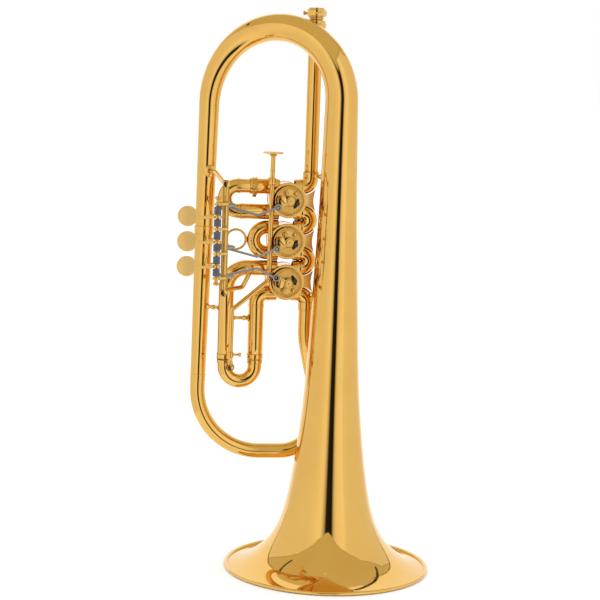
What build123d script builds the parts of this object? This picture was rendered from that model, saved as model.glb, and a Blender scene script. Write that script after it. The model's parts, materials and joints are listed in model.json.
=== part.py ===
from build123d import *
import math
import os

os.makedirs("parts", exist_ok=True)

# ---------------------------------------------------------------- driving sizes (mm)
# Origin: centre of the bell mouth, in the plane the rim stands on. +Z up the bell axis.
BELL_R = 77.5            # bell mouth radius
BEAD_R = 1.5             # rolled rim bead
WALL = 0.7               # bell wall
BELL_TOP = 352.0         # tail of the bell, where the top bow starts
# outer radius of the bell against height above the rim
BELL_PROFILE = [(1.7, 74.6), (2.7, 70.6), (5.0, 64.0), (10.0, 55.4), (20.0, 45.0),
                (30.0, 38.9), (36.0, 36.2), (47.0, 32.8), (59.0, 30.2), (71.0, 28.2),
                (82.0, 26.5), (98.0, 24.5), (113.0, 22.9), (128.0, 21.5), (144.0, 20.3),
                (174.0, 18.7), (205.0, 17.2), (248.0, 15.2), (280.0, 14.0), (325.0, 12.8),
                (BELL_TOP, 12.2)]

LEFT_TOP = (-93.4, 40.0, 346.0)     # axis of the left branch at its top
LEFT_BOT = (-96.9, 40.0, 137.0)     # and where the bottom bow starts
LEFT_FERRULE_Z = 252.0
LEFT_R_TOP = 7.75
LEFT_R_BOT = 5.75

YV = 26.0                # mid-plane of valves and tuning slides
VX = -34.7               # valve axis, X
VZ = (277.4, 246.6, 215.8)          # valve axes, Z, first to third
PORT = 9.5               # port height above and below each valve axis
TUBE_R = 5.75            # outer radius of the fixed valve tubing
BORE_R = 5.2             # bore radius of the valve tubing
LEG_R = 5.3              # outer radius of the sliding legs
LEG_IN = 4.8
SLEEVE_IN = 5.4
ROTOR_R = 9.4
CASE_R = 13.4
CASE_Y0, CASE_Y1 = 14.5, 37.5
CAP_R = 11.2
CAP_Y = 10.5
RUN_X = -16.6            # leadpipe, crook tubes and output tube line
STUB_RIGHT = 11.0        # port stubs, from the valve axis
STUB_LEFT = 12.9

AXLE = (-93.0, -25.0)    # lever axle, X and Y
AXLE_R = 1.3
AXLE_Z0, AXLE_Z1 = 217.5, 282.0
LINK_Y = 3.0             # plane of the connecting rods
STOP_R = 11.0            # ball radius on the stop arms
CRANK = (6.5, 28.0)      # ball position on the lever crank, from the axle
HUB_Z = (267.4, 249.3, 231.5)
BALL_Z = (274.0, 243.0, 221.0)      # height of each rod's lever end
POST_Z = (276.4, 258.3, 240.4, 222.6)
STOP_DEG = (205.0, 205.0, 155.0)    # rest direction of each stop arm, in the XZ plane
TOUCH = (-22.6, -11.5)   # touch centre from the axle
TOUCH_R = 7.3
LEVER_T = 2.2            # thickness of the lever bars
LUG = (CRANK[0] - 1.75, CRANK[1] + 3.03)    # post beside the ball, at the crank's end

ROD_X, ROD_Y = -48.6, 12.0          # trigger push rod
S3_LEFT, S3_RIGHT = -78.4, -55.4    # legs of the third slide
S3_ARC_Z = 150.2


# ---------------------------------------------------------------- helpers
def save(builder, name):
    builder.part.label = name
    export_step(builder.part, f"parts/{name}.step")
    print(name, len(builder.part.solids()), "solid(s)", round(builder.part.volume, 1), "mm3")


def ring_y(r_out, r_in, y0, y1, x, z):
    """Ring about an axis parallel to Y."""
    with BuildPart() as p:
        with BuildSketch(Plane(origin=(x, y0, z), x_dir=(1, 0, 0), z_dir=(0, 1, 0))):
            Circle(r_out)
            if r_in:
                Circle(r_in, mode=Mode.SUBTRACT)
        extrude(amount=y1 - y0)
    return p


def bar(p0, p1, r_out, r_in=0.0):
    """Straight round bar or tube between two points."""
    d = Vector(*p1) - Vector(*p0)
    with BuildPart() as p:
        with BuildSketch(Plane(origin=p0, z_dir=d)):
            Circle(r_out)
            if r_in:
                Circle(r_in, mode=Mode.SUBTRACT)
        extrude(amount=d.length)
    return p


def cone_tube(p0, p1, r0, r1, wall):
    """Straight tapered tube between two points."""
    d = Vector(*p1) - Vector(*p0)
    with BuildPart() as p:
        with BuildSketch(Plane(origin=p0, z_dir=d)):
            Circle(r0)
        with BuildSketch(Plane(origin=p1, z_dir=d)):
            Circle(r1)
        loft()
        with BuildSketch(Plane(origin=p0, z_dir=d)):
            Circle(r0 - wall)
        with BuildSketch(Plane(origin=p1, z_dir=d)):
            Circle(r1 - wall)
        loft(mode=Mode.SUBTRACT)
    return p


def bent_tube(points, radii, r_out, r_in=0.0):
    """Tube along straight runs joined by tangent arcs."""
    with BuildPart() as p:
        with BuildLine() as path:
            FilletPolyline(*points, radius=radii)
        with BuildSketch(Plane(origin=path.line @ 0, z_dir=path.line % 0)):
            Circle(r_out)
            if r_in:
                Circle(r_in, mode=Mode.SUBTRACT)
        sweep()
    return p


# ---------------------------------------------------------------- bell and its rolled rim
def inward(profile, t):
    out = []
    for i, (z, r) in enumerate(profile):
        a = profile[max(i - 1, 0)]
        b = profile[min(i + 1, len(profile) - 1)]
        dz, dr = b[0] - a[0], b[1] - a[1]
        n = math.hypot(dz, dr)
        # normal that points to the inside and down
        nz, nr = (dr / n), (-dz / n)
        out.append((z + nz * t, r + nr * t))
    return out


inner = inward(BELL_PROFILE, WALL)
inner[-1] = (BELL_TOP, BELL_PROFILE[-1][1] - WALL)
with BuildPart() as bell:
    with BuildSketch(Plane.XZ):
        with BuildLine():
            outer_line = Spline(*[(r, z) for z, r in BELL_PROFILE])
            inner_line = Spline(*[(r, z) for z, r in inner])
            Line(outer_line @ 0, inner_line @ 0)
            Line(outer_line @ 1, inner_line @ 1)
        make_face()
    revolve(axis=Axis.Z)
save(bell, "bell")

with BuildPart() as bell_rim_bead:
    with BuildSketch(Plane.XZ):
        with Locations((BELL_R - BEAD_R, BEAD_R - 0.06)):
            Circle(BEAD_R)
        with Locations((BELL_R, -5)):
            Rectangle(40, 10, mode=Mode.SUBTRACT)
        with Locations((BELL_R - 2 * BEAD_R - 9.8, 0)):
            Rectangle(20, 20, mode=Mode.SUBTRACT)
    revolve(axis=Axis.Z)
save(bell_rim_bead, "bell_rim_bead")

# ---------------------------------------------------------------- top bow
# The bow lies in the upright plane through the bell axis and the left branch.
bow_dx, bow_dy = LEFT_TOP[0], LEFT_TOP[1]
bow_span = math.hypot(bow_dx, bow_dy)
BOW_HALF = bow_span / 2
BOW_RISE = 56.0
bow_sections = []
N_BOW = 13
for i in range(N_BOW):
    t = i / (N_BOW - 1)
    a = math.pi * t
    s = BOW_HALF * (1 - math.cos(a))          # distance from the bell axis
    base = BELL_TOP + (LEFT_TOP[2] - BELL_TOP) * t
    z = base + BOW_RISE * math.sin(a)
    ds = BOW_HALF * math.sin(a) * math.pi
    dz = (LEFT_TOP[2] - BELL_TOP) + BOW_RISE * math.cos(a) * math.pi
    ux, uy = bow_dx / bow_span, bow_dy / bow_span
    r = 12.2 + (LEFT_R_TOP - 12.2) * t
    bow_sections.append(((ux * s, uy * s, z), (ux * ds, uy * ds, dz), r))
with BuildPart() as top_bow:
    for pos, direction, r in bow_sections:
        with BuildSketch(Plane(origin=pos, x_dir=(-bow_dy, bow_dx, 0), z_dir=direction)):
            Circle(r)
    loft()
    for pos, direction, r in bow_sections:
        with BuildSketch(Plane(origin=pos, x_dir=(-bow_dy, bow_dx, 0), z_dir=direction)):
            Circle(r - WALL)
    loft(mode=Mode.SUBTRACT)
save(top_bow, "top_bow")

# ---------------------------------------------------------------- left branch, in two drawn tubes
def on_left(z):
    t = (LEFT_TOP[2] - z) / (LEFT_TOP[2] - LEFT_BOT[2])
    return tuple(LEFT_TOP[i] + t * (LEFT_BOT[i] - LEFT_TOP[i]) for i in range(3))


def left_r(z):
    t = (LEFT_TOP[2] - z) / (LEFT_TOP[2] - LEFT_BOT[2])
    return LEFT_R_TOP + t * (LEFT_R_BOT - LEFT_R_TOP)


left_branch_upper = cone_tube(on_left(LEFT_TOP[2] - 0.05), on_left(LEFT_FERRULE_Z), LEFT_R_TOP,
                              left_r(LEFT_FERRULE_Z), 0.6)
save(left_branch_upper, "left_branch_upper")
left_branch_lower = cone_tube(on_left(LEFT_FERRULE_Z - 0.05), on_left(LEFT_BOT[2] + 0.05),
                              left_r(LEFT_FERRULE_Z), LEFT_R_BOT, 0.6)
save(left_branch_lower, "left_branch_lower")

# ---------------------------------------------------------------- bottom bow and output tube
OUT_TOP = (RUN_X - 0.4, YV, VZ[2] - PORT - 6.6)
BB_JOIN = (-7.2, 32.5, 132.0)          # joint of output tube and bottom bow
OUT_KNEE = (OUT_TOP[0], YV, 172.0)
BB_M = tuple(BB_JOIN[i] + (BB_JOIN[i] - OUT_KNEE[i]) * 27.0 / 40.0 for i in range(3))
BB_Z = 81.6
BB = [LEFT_BOT, (LEFT_BOT[0] - 0.4, 40.0, BB_Z), (-17.0, 38.0, BB_Z), BB_M, BB_JOIN]
bottom_bow = bent_tube(BB, [49.0, 29.0, 21.0], TUBE_R, BORE_R)
save(bottom_bow, "bottom_bow")

run = Vector(*OUT_KNEE) - Vector(*BB_JOIN)
OUT_END = tuple(Vector(*BB_JOIN) + run.normalized() * 0.05)
OUT = [(OUT_TOP[0], OUT_TOP[1], OUT_TOP[2] - 0.05), OUT_KNEE, OUT_END]
output_tube = bent_tube(OUT, [45.0], TUBE_R, BORE_R)
save(output_tube, "output_tube")

outlet_elbow = bent_tube([(VX + STUB_RIGHT + 0.05, YV, VZ[2] - PORT), (OUT_TOP[0], YV, VZ[2] - PORT), OUT_TOP],
                         [6.35], TUBE_R, BORE_R)
save(outlet_elbow, "outlet_elbow")

# ---------------------------------------------------------------- leadpipe, inlet elbow
LEAD_TOP = 411.6
IN_Z = VZ[0] + PORT + 7.0
inlet_elbow = bent_tube([(VX + STUB_RIGHT + 0.05, YV, VZ[0] + PORT), (RUN_X, YV, VZ[0] + PORT), (RUN_X, YV, IN_Z)],
                        [6.75], TUBE_R, BORE_R)
save(inlet_elbow, "inlet_elbow")
leadpipe = bar((RUN_X, YV, IN_Z + 0.05), (RUN_X, YV, LEAD_TOP), 5.3, 4.75)
save(leadpipe, "leadpipe")

# ferrules: sleeves soldered over the tube joints
with BuildPart() as branch_ferrules:
    for p0, p1, r, gap in (
            (on_left(LEFT_FERRULE_Z + 3.2), on_left(LEFT_FERRULE_Z - 3.2), left_r(LEFT_FERRULE_Z), 0.08),
            ((RUN_X, YV, IN_Z + 4.6), (RUN_X, YV, IN_Z - 0.2), TUBE_R, 0.04),
            ((OUT_TOP[0], YV, OUT_TOP[2] + 0.2), (OUT_TOP[0], YV, OUT_TOP[2] - 6.0), TUBE_R, 0.15),
            (tuple(Vector(*BB_JOIN) + run.normalized() * 2.5), tuple(Vector(*BB_JOIN) - run.normalized() * 2.5), TUBE_R, 0.1),
            (on_left(LEFT_BOT[2] + 4.5), on_left(LEFT_BOT[2] - 0.5), LEFT_R_BOT, 0.12)):
        d = Vector(*p1) - Vector(*p0)
        with BuildSketch(Plane(origin=p0, z_dir=d)):
            Circle(r + 0.75)
            Circle(r + gap, mode=Mode.SUBTRACT)
        extrude(amount=d.length)
save(branch_ferrules, "branch_ferrules")

# ---------------------------------------------------------------- mouthpiece receiver and its clamp
REC_X = RUN_X
with BuildPart() as mouthpiece_receiver:
    with BuildSketch(Plane((REC_X, YV, 399.0))):
        Circle(4.68)
        Circle(4.15, mode=Mode.SUBTRACT)
    extrude(amount=14.0)
    with BuildSketch(Plane((REC_X, YV, 411.9))):
        Circle(5.6)
        Circle(4.15, mode=Mode.SUBTRACT)
    extrude(amount=1.6)
    with BuildSketch(Plane((REC_X, YV, 413.4))):
        Circle(5.6)
        Circle(4.95, mode=Mode.SUBTRACT)
    extrude(amount=7.2)
save(mouthpiece_receiver, "mouthpiece_receiver")

def split_collar(z0, z1, r_in, r_out):
    """Clamp collar: two ears at the back with a slot between them, a key slot at the front."""
    with BuildPart() as p:
        with BuildSketch(Plane((REC_X, YV, z0))):
            Circle(r_out)
            with Locations((0, r_out)):
                Rectangle(7.0, 7.6)
            Circle(r_in, mode=Mode.SUBTRACT)
            with Locations((0, r_out)):
                Rectangle(1.3, 9.5, mode=Mode.SUBTRACT)
        extrude(amount=z1 - z0)
        with BuildSketch(Plane(origin=(REC_X - 8, YV + r_out + 1.9, (z0 + z1) / 2), z_dir=(1, 0, 0))):
            Circle(1.15)
        extrude(amount=16, mode=Mode.SUBTRACT)
        with BuildSketch(Plane(origin=(REC_X, YV - r_out - 1.0, (z0 + z1) / 2), x_dir=(1, 0, 0), z_dir=(0, 1, 0))):
            SlotOverall(4.2, 1.5, rotation=20)
        extrude(amount=1.8, mode=Mode.SUBTRACT)
    return p


def clamp_screw(z, r_out):
    """Thumb screw that pulls the two ears together, with its nut."""
    y = YV + r_out + 1.9
    with BuildPart() as p:
        with BuildSketch(Plane(origin=(REC_X - 8.0, y, z), z_dir=(1, 0, 0))):
            Circle(1.1)
        extrude(amount=16.0)
        with BuildSketch(Plane(origin=(REC_X + 6.7, y, z), z_dir=(1, 0, 0))):
            Circle(2.5)
        extrude(amount=2.6)
        chamfer(p.faces().filter_by(Axis.X).sort_by(Axis.X)[-1].edges(), 0.5)
        with BuildSketch(Plane(origin=(REC_X - 8.7, y, z), z_dir=(1, 0, 0))):
            Circle(1.7)
        extrude(amount=2.0)
    return p


receiver_clamp = split_collar(404.8, 411.3, 5.36, 7.0)
save(receiver_clamp, "receiver_clamp")
receiver_clamp_screw = clamp_screw(408.05, 7.0)
save(receiver_clamp_screw, "receiver_clamp_screw")
collar_ring = split_collar(414.0, 419.6, 5.66, 6.7)
collar_screw = clamp_screw(416.8, 6.7)
with BuildPart() as receiver_collar:
    add(collar_ring.part)
    add(collar_screw.part)
save(receiver_collar, "receiver_collar")

# ---------------------------------------------------------------- rotary valves
for n, vz in enumerate(VZ, 1):
    with BuildPart() as casing:
        with BuildSketch(Plane(origin=(VX, CASE_Y0, vz), x_dir=(1, 0, 0), z_dir=(0, 1, 0))):
            Circle(CASE_R)
        extrude(amount=CASE_Y1 - CASE_Y0)
        # four port stubs
        for sx in (-1, 1):
            for sz in (-1, 1):
                with BuildSketch(Plane(origin=(VX + 4.0 * sx, YV, vz + PORT * sz), z_dir=(sx, 0, 0))):
                    Circle(TUBE_R + 0.15)
                extrude(amount=(STUB_RIGHT if sx > 0 else STUB_LEFT) - 4.0)
        # rotor bore and cap seats
        with BuildSketch(Plane(origin=(VX, CASE_Y0 - 1, vz), x_dir=(1, 0, 0), z_dir=(0, 1, 0))):
            Circle(ROTOR_R + 0.05)
        extrude(amount=CASE_Y1 - CASE_Y0 + 2, mode=Mode.SUBTRACT)
        for sx in (-1, 1):
            for sz in (-1, 1):
                with BuildSketch(Plane(origin=(VX + 3.0 * sx, YV, vz + PORT * sz), z_dir=(sx, 0, 0))):
                    Circle(BORE_R)
                extrude(amount=11.0, mode=Mode.SUBTRACT)
        for sz in (-1, 1):
            with BuildSketch(Plane(origin=(VX + STUB_RIGHT, YV, vz + PORT * sz), z_dir=(1, 0, 0))):
                Circle(TUBE_R + 0.06)
            extrude(amount=6.0, mode=Mode.SUBTRACT)
    save(casing, f"valve_casing_{n}")

    with BuildPart() as rotor:
        with BuildSketch(Plane(origin=(VX, YV - 8.6, vz), x_dir=(1, 0, 0), z_dir=(0, 1, 0))):
            Circle(ROTOR_R)
        extrude(amount=17.2)
        # two curved windways
        for sx in (-1, 1):
            with BuildSketch(Plane(origin=(VX + sx * (math.sqrt(2) * ROTOR_R - 10.0), YV, vz),
                                   x_dir=(1, 0, 0), z_dir=(0, 0, 1))):
                with Locations((0, 0)):
                    Circle(4.7)
            revolve(axis=Axis((VX + sx * math.sqrt(2) * ROTOR_R, YV, vz), (0, 1, 0)),
                    revolution_arc=360, mode=Mode.SUBTRACT)
        # stem to the front, journal to the back
        with BuildSketch(Plane(origin=(VX, 5.9, vz), x_dir=(1, 0, 0), z_dir=(0, 1, 0))):
            Circle(2.3)
        extrude(amount=YV - 8.5 - 5.9)
        with BuildSketch(Plane(origin=(VX, YV + 8.5, vz), x_dir=(1, 0, 0), z_dir=(0, 1, 0))):
            Circle(2.6)
        extrude(amount=2.6)
    save(rotor, f"rotor_{n}")

with BuildPart() as front_caps:
    for vz in VZ:
        with BuildSketch(Plane(origin=(VX, CAP_Y, vz), x_dir=(1, 0, 0), z_dir=(0, 1, 0))):
            Circle(CAP_R)
            Circle(2.35, mode=Mode.SUBTRACT)
        extrude(amount=CASE_Y0 - 0.04 - CAP_Y)
        with BuildSketch(Plane(origin=(VX, CASE_Y0 - 0.04, vz), x_dir=(1, 0, 0), z_dir=(0, 1, 0))):
            Circle(ROTOR_R - 0.05)
            Circle(2.35, mode=Mode.SUBTRACT)
        extrude(amount=2.6)
save(front_caps, "front_caps")

with BuildPart() as back_caps:
    for vz in VZ:
        with BuildSketch(Plane(origin=(VX, CASE_Y1 + 0.04, vz), x_dir=(1, 0, 0), z_dir=(0, 1, 0))):
            Circle(12.2)
        extrude(amount=3.0)
        with BuildSketch(Plane(origin=(VX, YV + 8.8, vz), x_dir=(1, 0, 0), z_dir=(0, 1, 0))):
            Circle(ROTOR_R - 0.05)
            Circle(2.65, mode=Mode.SUBTRACT)
        extrude(amount=CASE_Y1 + 0.04 - YV - 8.8)
        with BuildSketch(Plane(origin=(VX, YV + 12.75, vz), x_dir=(1, 0, 0), z_dir=(0, 1, 0))):
            Circle(2.0)
        extrude(amount=1.2)
save(back_caps, "back_caps")

# ---------------------------------------------------------------- stop arms, their screws and the rubber stops
ARM_Y0, ARM_Y1 = 6.0, 8.2
for n, (vz, deg) in enumerate(zip(VZ, STOP_DEG), 1):
    a = math.radians(deg)
    bx, bz = VX + STOP_R * math.cos(a), vz + STOP_R * math.sin(a)
    with BuildPart() as stop_arm:
        with BuildSketch(Plane(origin=(VX, ARM_Y0, vz), x_dir=(1, 0, 0), z_dir=(0, -1, 0))):
            with Locations((0, 0)):
                Circle(3.3)
            with Locations(Rotation(0, 0, deg)):
                with Locations((STOP_R / 2, 0)):
                    Rectangle(STOP_R, 3.4)
            with Locations((STOP_R * math.cos(a), STOP_R * math.sin(a))):
                Circle(1.9)
            Circle(2.34, mode=Mode.SUBTRACT)
        extrude(amount=-(ARM_Y1 - ARM_Y0))
        # ball stud towards the rod
        with BuildSketch(Plane(origin=(bx, LINK_Y + 2.1, bz), x_dir=(1, 0, 0), z_dir=(0, 1, 0))):
            Circle(1.0)
        extrude(amount=ARM_Y0 + 0.2 - LINK_Y - 2.1)
    ax, az = VX - 6.6, vz + (0.3 if n < 3 else -0.3)
    with BuildPart() as arm_screw:
        with BuildSketch(Plane(origin=(ax, ARM_Y0 - 0.05, az), x_dir=(1, 0, 0), z_dir=(0, -1, 0))):
            Circle(3.3)
        extrude(amount=1.5)
        chamfer(arm_screw.faces().sort_by(Axis.Y)[0].edges(), 0.3)
        with BuildSketch(Plane(origin=(ax, ARM_Y0 - 2.2, az), x_dir=(1, 0, 0), z_dir=(0, 1, 0))):
            Rectangle(8.0, 0.7, rotation=45)
        extrude(amount=1.2, mode=Mode.SUBTRACT)
    # the arm and its clamping screw share a node
    with BuildPart() as arm_set:
        add(stop_arm.part)
        add(arm_screw.part)
    save(arm_set, f"stop_arm_{n}")

with BuildPart() as rubber_stops:
    for n, vz in enumerate(VZ):
        s = -1 if n < 2 else 1
        with BuildSketch(Plane(origin=(VX + 5.2, CAP_Y - 0.05, vz + s * 1.9), x_dir=(1, 0, 0), z_dir=(0, -1, 0))):
            Circle(1.7)
        extrude(amount=4.0)
save(rubber_stops, "rubber_stops")

with BuildPart() as stop_plate_screws:
    for n, vz in enumerate(VZ):
        s = 1 if n < 2 else -1
        for dx in (-3.0, 4.0):
            with BuildSketch(Plane(origin=(VX + dx, CAP_Y - 0.05, vz + s * 5.6), x_dir=(1, 0, 0), z_dir=(0, -1, 0))):
                Circle(1.3)
            extrude(amount=1.9)
save(stop_plate_screws, "stop_plate_screws")

# ---------------------------------------------------------------- crook tubes between the valves and their webs
with BuildPart() as crook_1:
    with BuildLine() as path:
        top, low = VZ[0] - PORT, VZ[1] + PORT
        arc_x = RUN_X - (top - low) / 2
        Line((VX + STUB_RIGHT + 0.05, YV, top), (arc_x, YV, top))
        ThreePointArc((arc_x, YV, top), (RUN_X, YV, (top + low) / 2), (arc_x, YV, low))
        Line((arc_x, YV, low), (VX + STUB_RIGHT + 0.05, YV, low))
    with BuildSketch(Plane(origin=path.line @ 0, z_dir=path.line % 0)):
        Circle(TUBE_R)
        Circle(BORE_R, mode=Mode.SUBTRACT)
    sweep()
save(crook_1, "crook_tube_1")
with BuildPart() as crook_2:
    with BuildLine() as path:
        top, low = VZ[1] - PORT, VZ[2] + PORT
        arc_x = RUN_X - (top - low) / 2
        Line((VX + STUB_RIGHT + 0.05, YV, top), (arc_x, YV, top))
        ThreePointArc((arc_x, YV, top), (RUN_X, YV, (top + low) / 2), (arc_x, YV, low))
        Line((arc_x, YV, low), (VX + STUB_RIGHT + 0.05, YV, low))
    with BuildSketch(Plane(origin=path.line @ 0, z_dir=path.line % 0)):
        Circle(TUBE_R)
        Circle(BORE_R, mode=Mode.SUBTRACT)
    sweep()
save(crook_2, "crook_tube_2")

with BuildPart() as valve_webs:
    for vz in VZ:
        with BuildSketch(Plane(origin=(VX + CASE_R + 0.15, YV - 3.2, vz), x_dir=(1, 0, 0), z_dir=(0, 1, 0))):
            with Locations((3.4, 0)):
                Rectangle(6.6, 6.2)
        extrude(amount=2.0)
save(valve_webs, "valve_webs")

# ---------------------------------------------------------------- first slide
S1_ARC_X = -72.0
SLEEVE_X0 = VX - 12.95
with BuildPart() as slide_1_tubes:
    for sz, xe in ((1, -63.0), (-1, -69.5)):
        with BuildSketch(Plane(origin=(SLEEVE_X0, YV, VZ[0] + sz * PORT), z_dir=(-1, 0, 0))):
            Circle(TUBE_R + 0.1)
            Circle(SLEEVE_IN, mode=Mode.SUBTRACT)
        extrude(amount=SLEEVE_X0 - xe)
slide_1_bow = bent_tube([(-50.0, YV, VZ[0] + PORT), (S1_ARC_X - PORT, YV, VZ[0] + PORT),
                         (S1_ARC_X - PORT, YV, VZ[0] - PORT), (-50.0, YV, VZ[0] - PORT)],
                        [PORT - 0.01, PORT - 0.01], LEG_R, LEG_IN)
save(slide_1_bow, "slide_1_bow")
with BuildPart() as slide_1_collar:
    with BuildSketch(Plane(origin=(-57.6, YV, VZ[0] + PORT), z_dir=(-1, 0, 0))):
        Circle(TUBE_R + 1.5)
        Circle(TUBE_R + 0.14, mode=Mode.SUBTRACT)
    extrude(amount=3.6)
    with BuildSketch(Plane(origin=(-59.4, YV, VZ[0] + PORT - TUBE_R - 2.6), z_dir=(0, 0, 1))):
        Circle(1.5)
    extrude(amount=2.0)
with BuildPart() as slide_1_sleeves:
    add(slide_1_tubes.part)
    add(slide_1_collar.part)
save(slide_1_sleeves, "slide_1_sleeves")

# ---------------------------------------------------------------- second slide and its pull ring
S2_ARC_X = -49.4
with BuildPart() as slide_2_bow:
    with BuildLine() as path:
        Line((VX - 9.0, YV, VZ[1] + PORT), (S2_ARC_X, YV, VZ[1] + PORT))
        ThreePointArc((S2_ARC_X, YV, VZ[1] + PORT), (S2_ARC_X - PORT, YV, VZ[1]), (S2_ARC_X, YV, VZ[1] - PORT))
        Line((S2_ARC_X, YV, VZ[1] - PORT), (VX - 9.0, YV, VZ[1] - PORT))
    with BuildSketch(Plane(origin=path.line @ 0, z_dir=path.line % 0)):
        Circle(BORE_R - 0.08)
        Circle(BORE_R - 0.6, mode=Mode.SUBTRACT)
    sweep()
save(slide_2_bow, "slide_2_bow")
RING_X = S2_ARC_X - PORT - BORE_R - 8.25
with BuildPart() as slide_2_pull_ring:
    with BuildSketch(Plane(origin=(RING_X, YV, VZ[1]), x_dir=(1, 0, 0), z_dir=(0, 0, 1))):
        with Locations((7.4, 0)):
            Circle(0.95)
    revolve(axis=Axis((RING_X, YV, VZ[1]), (0, 1, 0)), revolution_arc=360)
    with BuildSketch(Plane(origin=(RING_X + 7.0, YV, VZ[1]), z_dir=(1, 0, 0))):
        Circle(1.6)
    extrude(amount=1.2)
save(slide_2_pull_ring, "slide_2_pull_ring")

# ---------------------------------------------------------------- third slide
S3_SLEEVE_END = 156.0
up, lowz = VZ[2] + PORT, VZ[2] - PORT
with BuildPart() as slide_3_sleeves:
    with BuildLine() as path:
        FilletPolyline((SLEEVE_X0, YV, up), (S3_LEFT, YV, up), (S3_LEFT, YV, S3_SLEEVE_END), radius=15.0)
    with BuildSketch(Plane(origin=path.line @ 0, z_dir=path.line % 0)):
        Circle(TUBE_R + 0.1)
        Circle(SLEEVE_IN, mode=Mode.SUBTRACT)
    sweep()
save(slide_3_sleeves, "slide_3_upper_branch")
with BuildPart() as slide_3_lower:
    with BuildLine() as path:
        FilletPolyline((SLEEVE_X0, YV, lowz), (S3_RIGHT, YV, lowz), (S3_RIGHT, YV, S3_SLEEVE_END), radius=7.4)
    with BuildSketch(Plane(origin=path.line @ 0, z_dir=path.line % 0)):
        Circle(TUBE_R + 0.1)
        Circle(SLEEVE_IN, mode=Mode.SUBTRACT)
    sweep()
save(slide_3_lower, "slide_3_lower_branch")
s3c = (S3_LEFT + S3_RIGHT) / 2
s3r = (S3_RIGHT - S3_LEFT) / 2
with BuildPart() as slide_3_bow:
    with BuildLine() as path:
        Line((S3_LEFT, YV, 186.0), (S3_LEFT, YV, S3_ARC_Z))
        ThreePointArc((S3_LEFT, YV, S3_ARC_Z), (s3c, YV, S3_ARC_Z - s3r), (S3_RIGHT, YV, S3_ARC_Z))
        Line((S3_RIGHT, YV, S3_ARC_Z), (S3_RIGHT, YV, 186.0))
    with BuildSketch(Plane(origin=path.line @ 0, z_dir=path.line % 0)):
        Circle(LEG_R)
        Circle(LEG_IN, mode=Mode.SUBTRACT)
    sweep()
save(slide_3_bow, "slide_3_bow")

# trigger that pushes the third slide
with BuildPart() as trigger_rod:
    with BuildLine() as path:
        FilletPolyline((ROD_X + 0.6, ROD_Y, 310.5), (ROD_X, ROD_Y, 217.5), (-75.6, ROD_Y, 195.0),
                       (-76.0, ROD_Y, 154.0), radius=[5.0, 4.0])
    with BuildSketch(Plane(origin=path.line @ 0, z_dir=path.line % 0)):
        Circle(1.8)
    sweep()
    with BuildSketch(Plane(origin=(-76.0, ROD_Y - 1.4, 151.5), x_dir=(1, 0, 0), z_dir=(0, 1, 0))):
        Circle(3.2)
    extrude(amount=2.8)
save(trigger_rod, "trigger_rod")
with BuildPart() as trigger_saddle:
    with BuildSketch(Plane(origin=(-76.0, ROD_Y + 1.45, 151.5), x_dir=(1, 0, 0), z_dir=(0, 1, 0))):
        Circle(2.4)
    extrude(amount=26.0 - LEG_R - 0.2 - ROD_Y - 1.45)
    with BuildSketch(Plane(origin=(-76.0, ROD_Y - 1.45, 151.5), x_dir=(1, 0, 0), z_dir=(0, -1, 0))):
        Circle(2.2)
    extrude(amount=1.2)
save(trigger_saddle, "trigger_saddle")
with BuildPart() as trigger_button:
    with BuildSketch(Plane((ROD_X + 0.6, ROD_Y, 311.9))):
        Circle(7.7)
    extrude(amount=1.7)
    fillet(trigger_button.edges().sort_by(Axis.Z)[-1], 0.6)
    with BuildSketch(Plane((ROD_X + 0.6, ROD_Y, 310.55))):
        Circle(3.0)
    extrude(amount=1.4)
save(trigger_button, "trigger_button")
with BuildPart() as trigger_guide:
    gx = ROD_X + 0.45
    with BuildSketch(Plane((gx, ROD_Y, 289.0))):
        Circle(3.1)
        Circle(2.1, mode=Mode.SUBTRACT)
    extrude(amount=5.0)
    with BuildSketch(Plane(origin=(gx, ROD_Y + 2.7, 291.5), z_dir=(0, 1, 0))):
        Circle(1.5)
    extrude(amount=YV - TUBE_R - 0.2 - ROD_Y - 2.7)
save(trigger_guide, "trigger_guide")

# ---------------------------------------------------------------- lever frame
RAIL_X0, RAIL_X1 = AXLE[0] + 4.2, AXLE[0] + 8.9
RAIL_Y0, RAIL_Y1 = AXLE[1] + 5.6, AXLE[1] + 7.8
RAIL_Z0, RAIL_Z1 = 208.5, 293.6
rail_xc = (RAIL_X0 + RAIL_X1) / 2
with BuildPart() as lever_rail:
    with BuildSketch(Plane(origin=(rail_xc, RAIL_Y0, (RAIL_Z0 + RAIL_Z1) / 2), x_dir=(1, 0, 0), z_dir=(0, 1, 0))):
        SlotOverall(RAIL_Z1 - RAIL_Z0, RAIL_X1 - RAIL_X0, rotation=90)
    extrude(amount=RAIL_Y1 - RAIL_Y0)
save(lever_rail, "lever_rail")
with BuildPart() as rail_screws:
    for z in (RAIL_Z0 + 3.0, RAIL_Z1 - 3.0):
        with BuildSketch(Plane(origin=(rail_xc, RAIL_Y0 - 0.05, z), x_dir=(1, 0, 0), z_dir=(0, -1, 0))):
            Circle(2.1)
        extrude(amount=1.4)
        with BuildSketch(Plane(origin=(rail_xc, RAIL_Y0 - 2.0, z), x_dir=(1, 0, 0), z_dir=(0, 1, 0))):
            Rectangle(6.0, 0.6, rotation=60)
        extrude(amount=1.0, mode=Mode.SUBTRACT)
save(rail_screws, "rail_screws")
with BuildPart() as lever_posts:
    for z in POST_Z:
        with BuildSketch(Plane((AXLE[0], AXLE[1], z - 1.1))):
            Circle(2.6)
            with BuildLine():
                Polyline((0, 2.5), (4.9, 5.5), (8.2, 5.5), (8.2, 2.8), (1.5, -2.0), (0, -2.4), close=True)
            make_face()
            Circle(AXLE_R + 0.03, mode=Mode.SUBTRACT)
        extrude(amount=2.2)
save(lever_posts, "lever_posts")
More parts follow.
